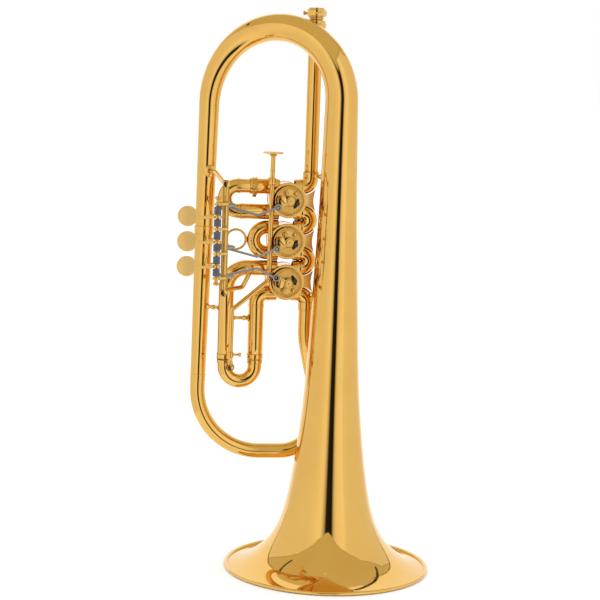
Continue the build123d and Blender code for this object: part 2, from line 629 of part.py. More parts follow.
with BuildPart() as lever_axle:
    with BuildSketch(Plane((AXLE[0], AXLE[1], AXLE_Z0))):
        Circle(AXLE_R)
    extrude(amount=AXLE_Z1 - AXLE_Z0)
    for z in (AXLE_Z0, AXLE_Z1 - 2.4):
        with BuildSketch(Plane((AXLE[0], AXLE[1], z))):
            Circle(2.4)
        extrude(amount=2.4)
save(lever_axle, "lever_axle")

for n, (hz, bz) in enumerate(zip(HUB_Z, BALL_Z), 1):
    with BuildPart() as lever:
        with BuildSketch(Plane((AXLE[0], AXLE[1], hz - 1.3))):
            Circle(3.0)
            # touch arm
            with BuildLine():
                Polyline((0.5, -1.6), (TOUCH[0] + 1.0, TOUCH[1] + 1.6), (TOUCH[0] + 1.0, TOUCH[1] + 4.0), (-0.6, 1.6),
                         close=True)
            make_face()
            # crank to behind the rail
            with BuildLine():
                Polyline((1.2, 0.6), (-3.3, 10.0), (LUG[0] + 1.2, LUG[1] - 5.0), (LUG[0] + 1.2, LUG[1] + 0.6),
                         (LUG[0] - 1.2, LUG[1] + 0.6), (LUG[0] - 1.2, LUG[1] - 4.0), (-6.0, 10.4), (-1.4, -0.6),
                         close=True)
            make_face()
            with Locations(LUG):
                Circle(1.3)
            Circle(AXLE_R + 0.05, mode=Mode.SUBTRACT)
        extrude(amount=LEVER_T)
        # post at the crank's end that carries the rod's ball at the rod's height
        z0, z1 = min(hz - 1.3, bz - 1.8), max(hz - 1.3 + LEVER_T, bz + 1.8)
        with BuildSketch(Plane((AXLE[0] + LUG[0], AXLE[1] + LUG[1], z0))):
            Circle(1.1)
        extrude(amount=z1 - z0)
        # touch plate
        tx, ty = AXLE[0] + TOUCH[0], AXLE[1] + TOUCH[1]
        with BuildSketch(Plane(origin=(tx, ty, hz + 1.0), x_dir=(1, 0, 0), z_dir=(0, 1, 0))):
            Circle(TOUCH_R)
        extrude(amount=2.0)
    save(lever, f"finger_lever_{n}")

with BuildPart() as lever_springs:
    gaps = []
    for n, hz in enumerate(HUB_Z):
        gaps.append((hz + 1.5, POST_Z[n] - 1.3))
        gaps.append((POST_Z[n + 1] + 1.3, hz - 1.5))
    for z0, z1 in gaps:
        with BuildSketch(Plane((AXLE[0], AXLE[1], z0 + 0.15))):
            Circle(2.95)
            Circle(1.6, mode=Mode.SUBTRACT)
        extrude(amount=z1 - z0 - 0.3)
save(lever_springs, "lever_springs")

# ---------------------------------------------------------------- connecting rods with ball ends
for n, (vz, deg, bz) in enumerate(zip(VZ, STOP_DEG, BALL_Z), 1):
    a = math.radians(deg)
    px, pz = VX + STOP_R * math.cos(a), vz + STOP_R * math.sin(a)
    with BuildPart() as ball:
        with BuildSketch(Plane(origin=(px, LINK_Y, pz), x_dir=(1, 0, 0), z_dir=(0, 0, 1))):
            with BuildLine():
                Line((0, -1.5), (0, 1.5))
                ThreePointArc((0, 1.5), (1.5, 0), (0, -1.5))
            make_face()
        revolve(axis=Axis((px, LINK_Y, pz), (0, 1, 0)), revolution_arc=360)
        with BuildSketch(Plane(origin=(px, LINK_Y + 1.3, pz), x_dir=(1, 0, 0), z_dir=(0, 1, 0))):
            Circle(0.8)
        extrude(amount=0.6)
    save(ball, f"rod_ball_{n}")

    qx = AXLE[0] + CRANK[0]
    kz = min(pz, bz) - 6.0 if n < 3 else max(pz, bz) + 6.6
    kx = -59.3
    # the third rod runs in front of the second, so that the two bends can pass each other
    fwd = 1.75 if n == 3 else 0.0
    with BuildPart() as rod:
        # socket ring round the ball
        with BuildSketch(Plane(origin=(px, LINK_Y - 0.9 - (fwd - 0.2 if fwd else 0.0), pz), x_dir=(1, 0, 0), z_dir=(0, 1, 0))):
            Circle(2.5)
            Circle(1.58, mode=Mode.SUBTRACT)
        extrude(amount=1.8 + (fwd - 0.2 if fwd else 0.0))
        # bent flat rod in two straight runs
        for (x0, z0), (x1, z1) in (((px - 2.2, pz + (-0.6 if n < 3 else 0.6)), (kx, kz)),
                                   ((kx, kz), (qx + 2.4, bz + (-0.5 if n < 3 else 0.5)))):
            L = math.hypot(x1 - x0, z1 - z0)
            ang = math.degrees(math.atan2(z1 - z0, x1 - x0))
            with BuildSketch(Plane(origin=((x0 + x1) / 2, LINK_Y - 0.7 - fwd, (z0 + z1) / 2),
                                   x_dir=(math.cos(math.radians(ang)), 0, math.sin(math.radians(ang))),
                                   z_dir=(0, 1, 0))):
                Rectangle(L + 0.8, 1.7)
            extrude(amount=1.4)
        # closed ball housing at the lever end
        with BuildSketch(Plane(origin=(qx, LINK_Y - 1.6, bz), x_dir=(1, 0, 0), z_dir=(0, 1, 0))):
            Circle(2.25)
        extrude(amount=3.2)
        with BuildSketch(Plane(origin=(qx + 5.0, LINK_Y - 0.7 - fwd / 2, bz), z_dir=(1, 0, 0))):
            Circle(1.5)
        extrude(amount=4.0)
    save(rod, f"connecting_rod_{n}")

# ---------------------------------------------------------------- braces and brackets
with BuildPart() as bell_braces:
    for z, x in ((295.6, RUN_X), (206.0, -17.0)):
        d = Vector(-x, -YV, 0).normalized()
        r_bell = 13.75 if z > 250 else 17.3
        start = Vector(x, YV, z) + d * (TUBE_R + 1.0)
        length = math.hypot(x, YV) - r_bell - 0.25 - TUBE_R - 1.0
        with BuildSketch(Plane(origin=start, z_dir=d)):
            Circle(1.5)
        extrude(amount=length)
save(bell_braces, "bell_braces")

with BuildPart() as slide_braces:
    zb = 190.5
    with BuildSketch(Plane(origin=(S3_LEFT + TUBE_R + 0.3, YV, zb - 3.5), z_dir=(1, 0, 0))):
        Circle(1.6)
    extrude(amount=S3_RIGHT - S3_LEFT - 2 * TUBE_R - 0.6)
    lx, ly, lz = on_left(194.0)
    d = (Vector(lx, ly, 194.0) - Vector(S3_LEFT, YV, 194.0))
    dn = d.normalized()
    with BuildSketch(Plane(origin=Vector(S3_LEFT, YV, 194.0) + dn * (TUBE_R + 0.3), z_dir=dn)):
        Circle(1.7)
    extrude(amount=d.length - TUBE_R - 0.3 - left_r(194.0) - 0.2)
save(slide_braces, "slide_braces")

with BuildPart() as rail_bracket:
    lx, ly, lz = on_left(296.0)
    with BuildLine() as path:
        FilletPolyline((lx + 1.5, ly - left_r(296.0) - 0.1, 297.0), (lx + 4.0, 14.0, 297.0),
                       (rail_xc, RAIL_Y1 + 9.0, 290.6), (rail_xc, RAIL_Y1 + 0.06, 290.6), radius=[8.0, 5.0])
    with BuildSketch(Plane(origin=path.line @ 0, z_dir=path.line % 0)):
        Circle(1.9)
    sweep()
save(rail_bracket, "rail_bracket")

with BuildPart() as rail_support_arm:
    with BuildLine() as path:
        FilletPolyline((rail_xc, RAIL_Y1 + 0.1, 211.5), (rail_xc, -6.0, 211.5), (-69.0, 8.0, 212.5),
                       (-62.0, 12.4, VZ[2] + PORT), (-62.0, YV - TUBE_R - 0.3, VZ[2] + PORT), radius=[5.0, 4.0, 3.0])
    with BuildSketch(Plane(origin=path.line @ 0, z_dir=path.line % 0)):
        Circle(1.7)
    sweep()
save(rail_support_arm, "rail_support_arm")
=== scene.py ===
import json
import math

import bmesh
import bpy
import numpy as np
from mathutils import Matrix, Vector


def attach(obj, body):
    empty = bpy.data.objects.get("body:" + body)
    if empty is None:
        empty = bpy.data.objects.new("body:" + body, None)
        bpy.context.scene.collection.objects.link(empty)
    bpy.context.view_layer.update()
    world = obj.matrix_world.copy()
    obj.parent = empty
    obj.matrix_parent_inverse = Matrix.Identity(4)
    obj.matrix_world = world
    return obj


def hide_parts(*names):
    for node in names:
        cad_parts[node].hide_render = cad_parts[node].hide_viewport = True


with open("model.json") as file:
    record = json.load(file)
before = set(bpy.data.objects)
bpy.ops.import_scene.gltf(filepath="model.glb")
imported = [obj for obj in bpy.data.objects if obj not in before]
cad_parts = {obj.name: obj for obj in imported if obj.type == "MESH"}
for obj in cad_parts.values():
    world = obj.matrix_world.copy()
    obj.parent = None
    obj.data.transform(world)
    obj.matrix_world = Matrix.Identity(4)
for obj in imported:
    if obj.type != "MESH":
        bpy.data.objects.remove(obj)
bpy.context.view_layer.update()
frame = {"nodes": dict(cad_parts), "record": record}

MM = 0.001
scene = bpy.context.scene


# ------------------------------------------------------------------ small vector helpers
def A(*v):
    return np.array(v, float)


def unit(v):
    v = np.asarray(v, float)
    return v / np.linalg.norm(v)


def side_of(d):
    """Two unit vectors at right angles to d and to each other."""
    d = unit(d)
    ref = A(0, 0, 1) if abs(d[2]) < 0.9 else A(1, 0, 0)
    u = unit(np.cross(ref, d))
    return u, np.cross(d, u)


def spin(v, axis, ang):
    axis = unit(axis)
    return v * math.cos(ang) + np.cross(axis, v) * math.sin(ang) + axis * np.dot(axis, v) * (1 - math.cos(ang))


# ------------------------------------------------------------------ shells (vertices and faces in millimetres)
def skin(rings, wrap=False):
    """Quads between rings of equal length. wrap joins the last ring to the first, otherwise both ends are capped."""
    s, n = len(rings[0]), len(rings)
    v = np.concatenate(rings)
    f = []
    for i in range(n if wrap else n - 1):
        a, b = i * s, ((i + 1) % n) * s
        for j in range(s):
            k = (j + 1) % s
            f.append((a + j, a + k, b + k, b + j))
    if not wrap:
        f.append(tuple(range(s - 1, -1, -1)))
        f.append(tuple((n - 1) * s + j for j in range(s)))
    return v, f


def soften(pts, r, n=3, closed=True):
    """Rounds the corners of a 2-D outline."""
    pts = [np.array(p, float) for p in pts]
    out, m = [], len(pts)
    for i, p in enumerate(pts):
        if not closed and i in (0, m - 1):
            out.append(p)
            continue
        a, b = pts[i - 1], pts[(i + 1) % m]
        la, lb = np.linalg.norm(a - p), np.linalg.norm(b - p)
        rr = r[i] if isinstance(r, (list, tuple)) else r
        ua, ub = (a - p) / max(la, 1e-9), (b - p) / max(lb, 1e-9)
        cosw = float(np.clip(np.dot(ua, ub), -1, 1))
        turn = math.pi - math.acos(cosw)
        if turn < 0.05 or rr <= 0:
            out.append(p)
            continue
        d = min(rr * math.tan(turn / 2), 0.45 * la, 0.45 * lb)
        rr = d / math.tan(turn / 2)
        c = p + (ua + ub) / max(np.linalg.norm(ua + ub), 1e-9) * (rr / math.cos(turn / 2))
        s, e = p + ua * d - c, p + ub * d - c
        sign = 1 if s[0] * e[1] - s[1] * e[0] > 0 else -1
        for k in range(n + 1):
            t = sign * turn * k / n
            out.append(c + A(s[0] * math.cos(t) - s[1] * math.sin(t), s[0] * math.sin(t) + s[1] * math.cos(t)))
    return out


def lathe(prof, o, axis, seg=64, r=0.0, wrap=False, start=0.0):
    """Turned shape: prof holds (distance along the axis, radius). wrap makes a ring with a bore."""
    if r:
        prof = soften(prof, r, 3, closed=wrap)
    o, axis = np.array(o, float), unit(axis)
    u, w = side_of(axis)
    ang = np.linspace(0, 2 * math.pi, seg, endpoint=False) + start
    circ = np.cos(ang)[:, None] * u + np.sin(ang)[:, None] * w
    return skin([o + axis * t + circ * max(rad, 0.012) for t, rad in prof], wrap)


def transport(P, T):
    u, _ = side_of(T[0])
    out = []
    for t in T:
        u = unit(u - t * np.dot(u, t))
        out.append((u.copy(), np.cross(t, u)))
    return out


def pipe(P, T, ro, ri=None, seg=48, lip=0.12):
    """Tube or rod along a path. ro and ri are numbers or one number per point."""
    P, T = [np.array(p, float) for p in P], [unit(t) for t in T]
    n = len(P)
    ro = [float(ro)] * n if np.isscalar(ro) else list(ro)
    F = transport(P, T)
    ang = np.linspace(0, 2 * math.pi, seg, endpoint=False)

    def ring(i, r, back=0.0):
        u, w = F[i]
        return P[i] + T[i] * back + (np.cos(ang)[:, None] * u + np.sin(ang)[:, None] * w) * r

    if lip:
        rings = [ring(0, ro[0] - lip), ring(0, ro[0] - lip * 0.3, lip * 0.3), ring(0, ro[0], lip)]
        rings += [ring(i, ro[i]) for i in range(1, n - 1)]
        rings += [ring(n - 1, ro[-1], -lip), ring(n - 1, ro[-1] - lip * 0.3, -lip * 0.3), ring(n - 1, ro[-1] - lip)]
    else:
        rings = [ring(i, ro[i]) for i in range(n)]
    if ri is None:
        return skin(rings)
    ri = [float(ri)] * n if np.isscalar(ri) else list(ri)
    rings += [ring(i, ri[i]) for i in range(n - 1, -1, -1)]
    return skin(rings, wrap=True)


def route(points, radii, step=2.5):
    """Straight runs joined by arcs: points and tangents."""
    pts = [np.array(p, float) for p in points]
    P, T = [pts[0]], [unit(pts[1] - pts[0])]
    for i in range(1, len(pts) - 1):
        a, b = unit(pts[i - 1] - pts[i]), unit(pts[i + 1] - pts[i])
        r = radii[i - 1]
        turn = math.acos(float(np.clip(-np.dot(a, b), -1, 1)))
        d = r * math.tan(turn / 2)
        s = pts[i] + a * d
        c = pts[i] + unit(a + b) * (r / math.cos(turn / 2))
        n = unit(np.cross(s - c, pts[i] + b * d - c))
        m = max(4, int(math.ceil(math.degrees(turn) / step)))
        for k in range(m + 1):
            q = spin(s - c, n, turn * k / m)
            P.append(c + q)
            T.append(unit(np.cross(n, q)))
    P.append(pts[-1])
    T.append(unit(pts[-1] - pts[-2]))
    keep = [0] + [i for i in range(1, len(P)) if np.linalg.norm(P[i] - P[i - 1]) > 1e-4]
    return [P[i] for i in keep], [T[i] for i in keep]


def line(p0, p1, n=2):
    p0, p1 = np.array(p0, float), np.array(p1, float)
    return [p0 + (p1 - p0) * t for t in np.linspace(0, 1, n)], [unit(p1 - p0)] * n


def prism(outline, o, xd, yd, depth, bevel=0.2, seg=2):
    """Plate cut to a 2-D outline in the plane of xd and yd, depth thick along xd x yd, with broken edges."""
    o, xd, yd = np.array(o, float), unit(xd), unit(yd)
    nd = unit(np.cross(xd, yd))
    bm = bmesh.new()
    low = [bm.verts.new(o + xd * p[0] + yd * p[1]) for p in outline]
    top = [bm.verts.new(o + xd * p[0] + yd * p[1] + nd * depth) for p in outline]
    n = len(outline)
    faces = [bm.faces.new(low[::-1]), bm.faces.new(top)]
    for i in range(n):
        bm.faces.new((low[i], low[(i + 1) % n], top[(i + 1) % n], top[i]))
    bm.normal_update()
    if bevel:
        edges = list({e for f in faces for e in f.edges})
        bmesh.ops.bevel(bm, geom=edges, offset=bevel, segments=seg, affect="EDGES", clamp_overlap=True)
    bm.verts.ensure_lookup_table()
    bm.verts.index_update()
    v = np.array([q.co[:] for q in bm.verts])
    f = [tuple(q.index for q in fc.verts) for fc in bm.faces]
    bm.free()
    return v, f


def disc2(r, n=40, c=(0, 0)):
    return [(c[0] + r * math.cos(2 * math.pi * i / n), c[1] + r * math.sin(2 * math.pi * i / n)) for i in range(n)]


def pill(c0, r0, c1, r1, n=14):
    """Outline round two circles and the tangents between them."""
    c0, c1 = np.array(c0, float), np.array(c1, float)
    d = c1 - c0
    L = np.linalg.norm(d)
    base = math.atan2(d[1], d[0])
    off = math.acos(max(-1, min(1, (r0 - r1) / L)))
    out = []
    for k in range(n + 1):
        t = base + off + (2 * math.pi - 2 * off) * k / n
        out.append(tuple(c0 + r0 * A(math.cos(t), math.sin(t))))
    for k in range(n + 1):
        t = base - off + 2 * off * k / n
        out.append(tuple(c1 + r1 * A(math.cos(t), math.sin(t))))
    return out


def ball(c, r, axis=(0, 0, 1), seg=32, rows=16, cut=0.0):
    prof = [(-r * math.cos(math.pi * k / rows), r * math.sin(math.pi * k / rows)) for k in range(rows + 1)]
    return lathe(prof, c, axis, seg)


def ring_torus(c, axis, R, r, seg=96, sub=16):
    return lathe([(r * math.cos(t), R + r * math.sin(t)) for t in np.linspace(0, 2 * math.pi, sub, endpoint=False)],
                 c, axis, seg, wrap=True)


def mesh_of(name, shells):
    v, f, base = [], [], 0
    for sv, sf in shells:
        v.extend([(x * MM, y * MM, z * MM) for x, y, z in sv])
        f.extend([tuple(i + base for i in q) for q in sf])
        base += len(sv)
    me = bpy.data.meshes.new(name)
    me.from_pydata(v, [], f)
    bm = bmesh.new()
    bm.from_mesh(me)
    bmesh.ops.recalc_face_normals(bm, faces=bm.faces)
    bm.to_mesh(me)
    bm.free()
    me.validate()
    return me


def put(name, shells, mat, body, nodes=(), sharp=33):
    me = mesh_of(name, shells)
    for p in me.polygons:
        p.use_smooth = True
    me.set_sharp_from_angle(angle=math.radians(sharp))
    ob = bpy.data.objects.new(name, me)
    scene.collection.objects.link(ob)
    me.materials.append(mat)
    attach(ob, body)
    if nodes:
        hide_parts(*nodes)
    return ob


def cut(shell, cutters, op="DIFFERENCE"):
    """Boolean of closed shells, worked out on the meshes."""
    base = bpy.data.objects.new("tmp_base", mesh_of("tmp_base", [shell]))
    scene.collection.objects.link(base)
    made = [base]
    for i, c in enumerate(cutters):
        t = bpy.data.objects.new(f"tmp_cut_{i}", mesh_of(f"tmp_cut_{i}", [c]))
        scene.collection.objects.link(t)
        made.append(t)
        m = base.modifiers.new(f"b{i}", "BOOLEAN")
        m.object, m.operation, m.solver = t, op, "EXACT"
    dg = bpy.context.evaluated_depsgraph_get()
    me = bpy.data.meshes.new_from_object(base.evaluated_get(dg))
    v = np.array([q.co[:] for q in me.vertices]) / MM
    f = [tuple(p.vertices) for p in me.polygons]
    for o in made:
        d = o.data
        bpy.data.objects.remove(o)
        bpy.data.meshes.remove(d)
    bpy.data.meshes.remove(me)
    return v, f


def box_shell(c, hx, hy, hz, xd=(1, 0, 0), yd=(0, 1, 0)):
    xd, yd = unit(xd), unit(yd)
    zd = np.cross(xd, yd)
    c = np.array(c, float)
    v = [c + xd * hx * a + yd * hy * b + zd * hz * d for d in (-1, 1) for b in (-1, 1) for a in (-1, 1)]
    f = [(0, 2, 3, 1), (4, 5, 7, 6), (0, 1, 5, 4), (2, 6, 7, 3), (0, 4, 6, 2), (1, 3, 7, 5)]
    return np.array(v), f


def slotted(o, axis, r, h, width=0.5, deep=0.5, ang=0.0, seg=48, edge=0.22):
    """Screw head with a driver slot. o is the centre of its seat, axis points outwards."""
    head = lathe([(0, 0), (0, r), (h, r), (h, 0)], o, axis, seg, r=edge)
    u, w = side_of(axis)
    x = u * math.cos(ang) + w * math.sin(ang)
    return cut(head, [box_shell(np.array(o, float) + unit(axis) * h, r * 1.4, width / 2, deep, x, np.cross(unit(axis), x))])


def ferrule(p0, p1, r0, r1=None, th=0.75, bead=0.2):
    """Sleeve over a tube joint, with a fine bead turned at each end."""
    p0, p1 = np.array(p0, float), np.array(p1, float)
    L = float(np.linalg.norm(p1 - p0))
    r1 = r0 if r1 is None else r1
    rr = lambda t: r0 + (r1 - r0) * t / L
    e = min(0.5, L * 0.12)
    prof = [(0, rr(0) + 0.03), (0, rr(0) + th - 0.1), (0.12, rr(0) + th), (e, rr(0) + th), (e + 0.12, rr(0) + th - bead),
            (L - e - 0.12, rr(L) + th - bead), (L - e, rr(L) + th), (L - 0.12, rr(L) + th), (L, rr(L) + th - 0.1),
            (L, rr(L) + 0.03)]
    return lathe(prof, p0, p1 - p0, 72, wrap=True)


# ------------------------------------------------------------------ materials
def nodes_of(name):
    m = bpy.data.materials.new(name)
    m.use_nodes = True
    nt = m.node_tree
    b = nt.nodes["Principled BSDF"]
    return m, nt, b


def add_node(nt, kind, **kw):
    n = nt.nodes.new(kind)
    for k, v in kw.items():
        if k in n.inputs:
            n.inputs[k].default_value = v
        else:
            setattr(n, k, v)
    return n


def noise(nt, vec, scale, detail=4.0, rough=0.55, dist=0.0):
    n = add_node(nt, "ShaderNodeTexNoise")
    n.inputs["Scale"].default_value = scale
    n.inputs["Detail"].default_value = detail
    n.inputs["Roughness"].default_value = rough
    n.inputs["Distortion"].default_value = dist
    nt.links.new(vec, n.inputs["Vector"])
    return n.outputs["Fac"]


def ramp(nt, fac, a, b, ca, cb):
    n = add_node(nt, "ShaderNodeMapRange")
    n.inputs["From Min"].default_value = a
    n.inputs["From Max"].default_value = b
    n.inputs["To Min"].default_value = ca
    n.inputs["To Max"].default_value = cb
    nt.links.new(fac, n.inputs["Value"])
    return n.outputs["Result"]


def mixc(nt, fac, c0, c1):
    n = nt.nodes.new("ShaderNodeMix")
    n.data_type = "RGBA"
    nt.links.new(fac, n.inputs["Factor"])
    for i, c in ((6, c0), (7, c1)):
        if isinstance(c, tuple):
            n.inputs[i].default_value = (*c, 1.0)
        else:
            nt.links.new(c, n.inputs[i])
    return n.outputs[2]


def stretch(nt, vec, sx, sy, sz):
    n = nt.nodes.new("ShaderNodeMapping")
    n.inputs["Scale"].default_value = (sx, sy, sz)
    nt.links.new(vec, n.inputs["Vector"])
    return n.outputs["Vector"]


def metal(name, base, deep, worn, rough, spread, grain=None, bump=0.02, coat=0.35, reach=0.0022, crevice=0.9, shade_tone=(0.10, 0.035, 0.006)):
    """Polished or brushed metal: tone drifts between base and deep, thin worn patches, painted shade darkening
    crevices within reach, roughness from smears and hairlines.
    """
    m, nt, b = nodes_of(name)
    co = nt.nodes.new("ShaderNodeTexCoord").outputs["Object"]
    cloud = noise(nt, co, 24.0, 5.0, 0.6, 0.4)
    tone = mixc(nt, ramp(nt, cloud, 0.38, 0.68, 0.0, 1.0), base, deep)
    spots = noise(nt, co, 210.0, 6.0, 0.65)
    tone = mixc(nt, ramp(nt, spots, 0.66, 0.78, 0.0, 0.35), tone, worn)
    # Painted shade: ambient occlusion darkens the colour in crevices and between parts towards a near-black tone,
    # standing in for the shade there.
    ao = nt.nodes.new("ShaderNodeAmbientOcclusion")
    ao.samples = 6
    ao.inputs["Distance"].default_value = reach
    painted_shade = ramp(nt, ao.outputs["AO"], 0.15, 0.80, crevice, 0.0)
    tone = mixc(nt, painted_shade, tone, shade_tone)
    nt.links.new(tone, b.inputs["Base Color"])
    b.inputs["Metallic"].default_value = 1.0
    smear = noise(nt, stretch(nt, co, 1.0, 1.0, 0.35), 60.0, 6.0, 0.6, 1.2)
    r = ramp(nt, smear, 0.3, 0.75, rough, rough + spread)
    if grain:
        hair = noise(nt, stretch(nt, co, *grain), 900.0, 3.0, 0.7)
    else:
        hair = noise(nt, stretch(nt, co, 1.0, 1.0, 0.08), 1600.0, 2.0, 0.7)
    add = nt.nodes.new("ShaderNodeMath")
    add.operation = "MULTIPLY_ADD"
    nt.links.new(ramp(nt, hair, 0.45, 0.8, 0.0, 1.0), add.inputs[0])
    add.inputs[1].default_value = spread * 0.8
    nt.links.new(r, add.inputs[2])
    nt.links.new(add.outputs[0], b.inputs["Roughness"])
    bp = nt.nodes.new("ShaderNodeBump")
    bp.inputs["Strength"].default_value = bump
    bp.inputs["Distance"].default_value = 0.0004
    nt.links.new(hair, bp.inputs["Height"])
    nt.links.new(bp.outputs["Normal"], b.inputs["Normal"])
    b.inputs["Coat Weight"].default_value = coat
    b.inputs["Coat Roughness"].default_value = 0.04
    return m


GOLD = metal("gold_lacquer", (0.83, 0.50, 0.128), (0.80, 0.47, 0.112), (0.70, 0.40, 0.09), 0.03, 0.03, bump=0.010, coat=0.12)
# Darker copy of the lacquered gold with stronger crevice darkening: painted shade for the front caps.
GOLD_SHADED = metal("gold_lacquer_shaded", (0.74, 0.43, 0.10), (0.62, 0.34, 0.07), (0.44, 0.22, 0.04), 0.05, 0.06, bump=0.02, coat=0.15, reach=0.004, crevice=1.0)
SATIN = metal("gold_satin", (0.97, 0.66, 0.24), (0.94, 0.61, 0.21), (0.84, 0.51, 0.16), 0.42, 0.10, grain=(1.0, 1.0, 0.06), bump=0.10, coat=0.1)
WEB = metal("gold_web", (0.88, 0.62, 0.27), (0.84, 0.57, 0.23), (0.76, 0.48, 0.17), 0.16, 0.08, grain=(0.06, 1.0, 1.0), bump=0.06, coat=0.1, reach=0.0012, crevice=0.7)
STEEL = metal("link_steel", (0.42, 0.405, 0.39), (0.29, 0.28, 0.27), (0.28, 0.26, 0.25), 0.13, 0.10, grain=(0.05, 1.0, 1.0), bump=0.10, coat=0.0, reach=0.0016, shade_tone=(0.05, 0.05, 0.05))
SPRING = metal("spring_steel", (0.23, 0.26, 0.33), (0.17, 0.19, 0.25), (0.12, 0.12, 0.14), 0.26, 0.14, bump=0.06, coat=0.0, reach=0.0012, shade_tone=(0.02, 0.02, 0.03))
BRONZE = metal("rotor_bronze", (0.62, 0.38, 0.17), (0.52, 0.30, 0.12), (0.40, 0.22, 0.09), 0.22, 0.1, grain=(1.0, 0.05, 1.0), bump=0.08, coat=0.0)


def rubber(name):
    m, nt, b = nodes_of(name)
    co = nt.nodes.new("ShaderNodeTexCoord").outputs["Object"]
    n1 = noise(nt, co, 900.0, 6.0, 0.7)
    nt.links.new(mixc(nt, ramp(nt, n1, 0.35, 0.7, 0.0, 1.0), (0.012, 0.011, 0.011), (0.035, 0.033, 0.031)), b.inputs["Base Color"])
    nt.links.new(ramp(nt, noise(nt, co, 300.0, 5.0), 0.3, 0.7, 0.55, 0.8), b.inputs["Roughness"])
    bp = nt.nodes.new("ShaderNodeBump")
    bp.inputs["Strength"].default_value = 0.4
    bp.inputs["Distance"].default_value = 0.0003
    nt.links.new(n1, bp.inputs["Height"])
    nt.links.new(bp.outputs["Normal"], b.inputs["Normal"])
    return m


RUBBER = rubber("stop_rubber")

# every CAD node that stays carries a finished material too
FIRST = {"stop_rubber": RUBBER, "link_steel": STEEL, "spring_steel": SPRING, "satin_brass": SATIN, "lacquered_brass": GOLD}
slot_of = {s["node"]: s["material_slot"] for s in frame["record"]["subparts"]}
for node, ob in frame["nodes"].items():
    mat = BRONZE if node.startswith("rotor_") else FIRST[slot_of[node]]
    if not ob.material_slots:
        ob.data.materials.append(mat)
    for s in ob.material_slots:
        s.material = mat

# ------------------------------------------------------------------ sizes, as in the CAD model
WALL = 0.7
BELL_TOP = 352.0
PROFILE = [(1.7, 74.6), (2.7, 70.6), (5.0, 64.0), (10.0, 55.4), (20.0, 45.0), (30.0, 38.9), (36.0, 36.2), (47.0, 32.8),
           (59.0, 30.2), (71.0, 28.2), (82.0, 26.5), (98.0, 24.5), (113.0, 22.9), (128.0, 21.5), (144.0, 20.3),
           (174.0, 18.7), (205.0, 17.2), (248.0, 15.2), (280.0, 14.0), (325.0, 12.8), (352.0, 12.2)]
LEFT_TOP, LEFT_BOT = A(-93.4, 40.0, 346.0), A(-96.9, 40.0, 137.0)
YV, VX, VZ = 26.0, -34.7, (277.4, 246.6, 215.8)
PORT, TUBE_R, BORE_R, LEG_R, LEG_IN, SLEEVE_IN = 9.5, 5.75, 5.2, 5.3, 4.8, 5.4
RUN_X = -16.6
X, Y, Z = A(1, 0, 0), A(0, 1, 0), A(0, 0, 1)


def on_left(z):
    return LEFT_TOP + (LEFT_BOT - LEFT_TOP) * (LEFT_TOP[2] - z) / (LEFT_TOP[2] - LEFT_BOT[2])


def left_r(z):
    return 7.75 - 2.0 * (LEFT_TOP[2] - z) / (LEFT_TOP[2] - LEFT_BOT[2])


def cubic(pts, n):
    """Smooth curve through 2-D points, by chord length, as n samples."""
    P = np.array(pts, float)
    t = np.concatenate([[0], np.cumsum(np.sqrt(np.linalg.norm(np.diff(P, axis=0), axis=1)))])
    m = len(P)
    out = np.zeros((n, 2))
    # denser where the curve is short between points
    ts = np.interp(np.linspace(0, m - 1, n), np.arange(m), t)
    for d in range(2):
        h = np.diff(t)
        M = np.zeros((m, m))
        rhs = np.zeros(m)
        M[0, 0] = M[-1, -1] = 1
        for i in range(1, m - 1):
            M[i, i - 1], M[i, i], M[i, i + 1] = h[i - 1], 2 * (h[i - 1] + h[i]), h[i]
            rhs[i] = 6 * ((P[i + 1, d] - P[i, d]) / h[i] - (P[i, d] - P[i - 1, d]) / h[i - 1])
        k = np.linalg.solve(M, rhs)
        for j, tt in enumerate(ts):
            i = min(max(int(np.searchsorted(t, tt) - 1), 0), m - 2)
            a, b = (t[i + 1] - tt) / h[i], (tt - t[i]) / h[i]
            out[j, d] = (a * P[i, d] + b * P[i + 1, d]
                         + ((a ** 3 - a) * k[i] + (b ** 3 - b) * k[i + 1]) * h[i] ** 2 / 6)
    return out


# ------------------------------------------------------------------ bell, rim, bows and branches
outer = cubic(PROFILE, 200)
g = np.gradient(outer, axis=0)
g /= np.linalg.norm(g, axis=1)[:, None]
inner = outer + np.stack([g[:, 1], -g[:, 0]], 1) * WALL
inner[-1, 0] = BELL_TOP
put("bell_body", [lathe(list(map(tuple, outer)) + list(map(tuple, inner[::-1])), (0, 0, 0), Z, 288, wrap=True)],
    GOLD, "body", ["bell"], sharp=50)
put("rim_bead", [lathe([(1.44 + 1.5 * math.sin(t), 76.0 + 1.5 * math.cos(t)) for t in np.linspace(0, 2 * math.pi, 28, endpoint=False)],
                       (0, 0, 0.03), Z, 288, wrap=True)], GOLD, "body", ["bell_rim_bead"])

bow_dx, bow_dy = -93.4, 40.0
span = math.hypot(bow_dx, bow_dy)
half = span / 2
P, T, R = [], [], []
for t in np.linspace(0, 1, 121):
    a = math.pi * t
    s = half * (1 - math.cos(a))
    z = 352.0 - 6.0 * t + 56.0 * math.sin(a)
    ds, dz = half * math.sin(a) * math.pi, -6.0 + 56.0 * math.cos(a) * math.pi
    P.append(A(bow_dx / span * s, bow_dy / span * s, z))
    T.append(unit(A(bow_dx / span * ds, bow_dy / span * ds, dz)))
    R.append(12.2 - 4.45 * t)
put("top_bow_tube", [pipe(P, T, R, [r - WALL for r in R], 112, lip=0)], GOLD, "body", ["top_bow"], sharp=50)


def taper(z0, z1, wall, n=24):
    ps, ts = line(on_left(z0), on_left(z1), n)
    rs = [left_r(z) for z in np.linspace(z0, z1, n)]
    return pipe(ps, ts, rs, [r - wall for r in rs], 80, lip=0)


put("left_tube_upper", [taper(345.95, 252.0, 0.6)], GOLD, "body", ["left_branch_upper"])
put("left_tube_lower", [taper(251.95, 137.05, 0.6)], GOLD, "body", ["left_branch_lower"])

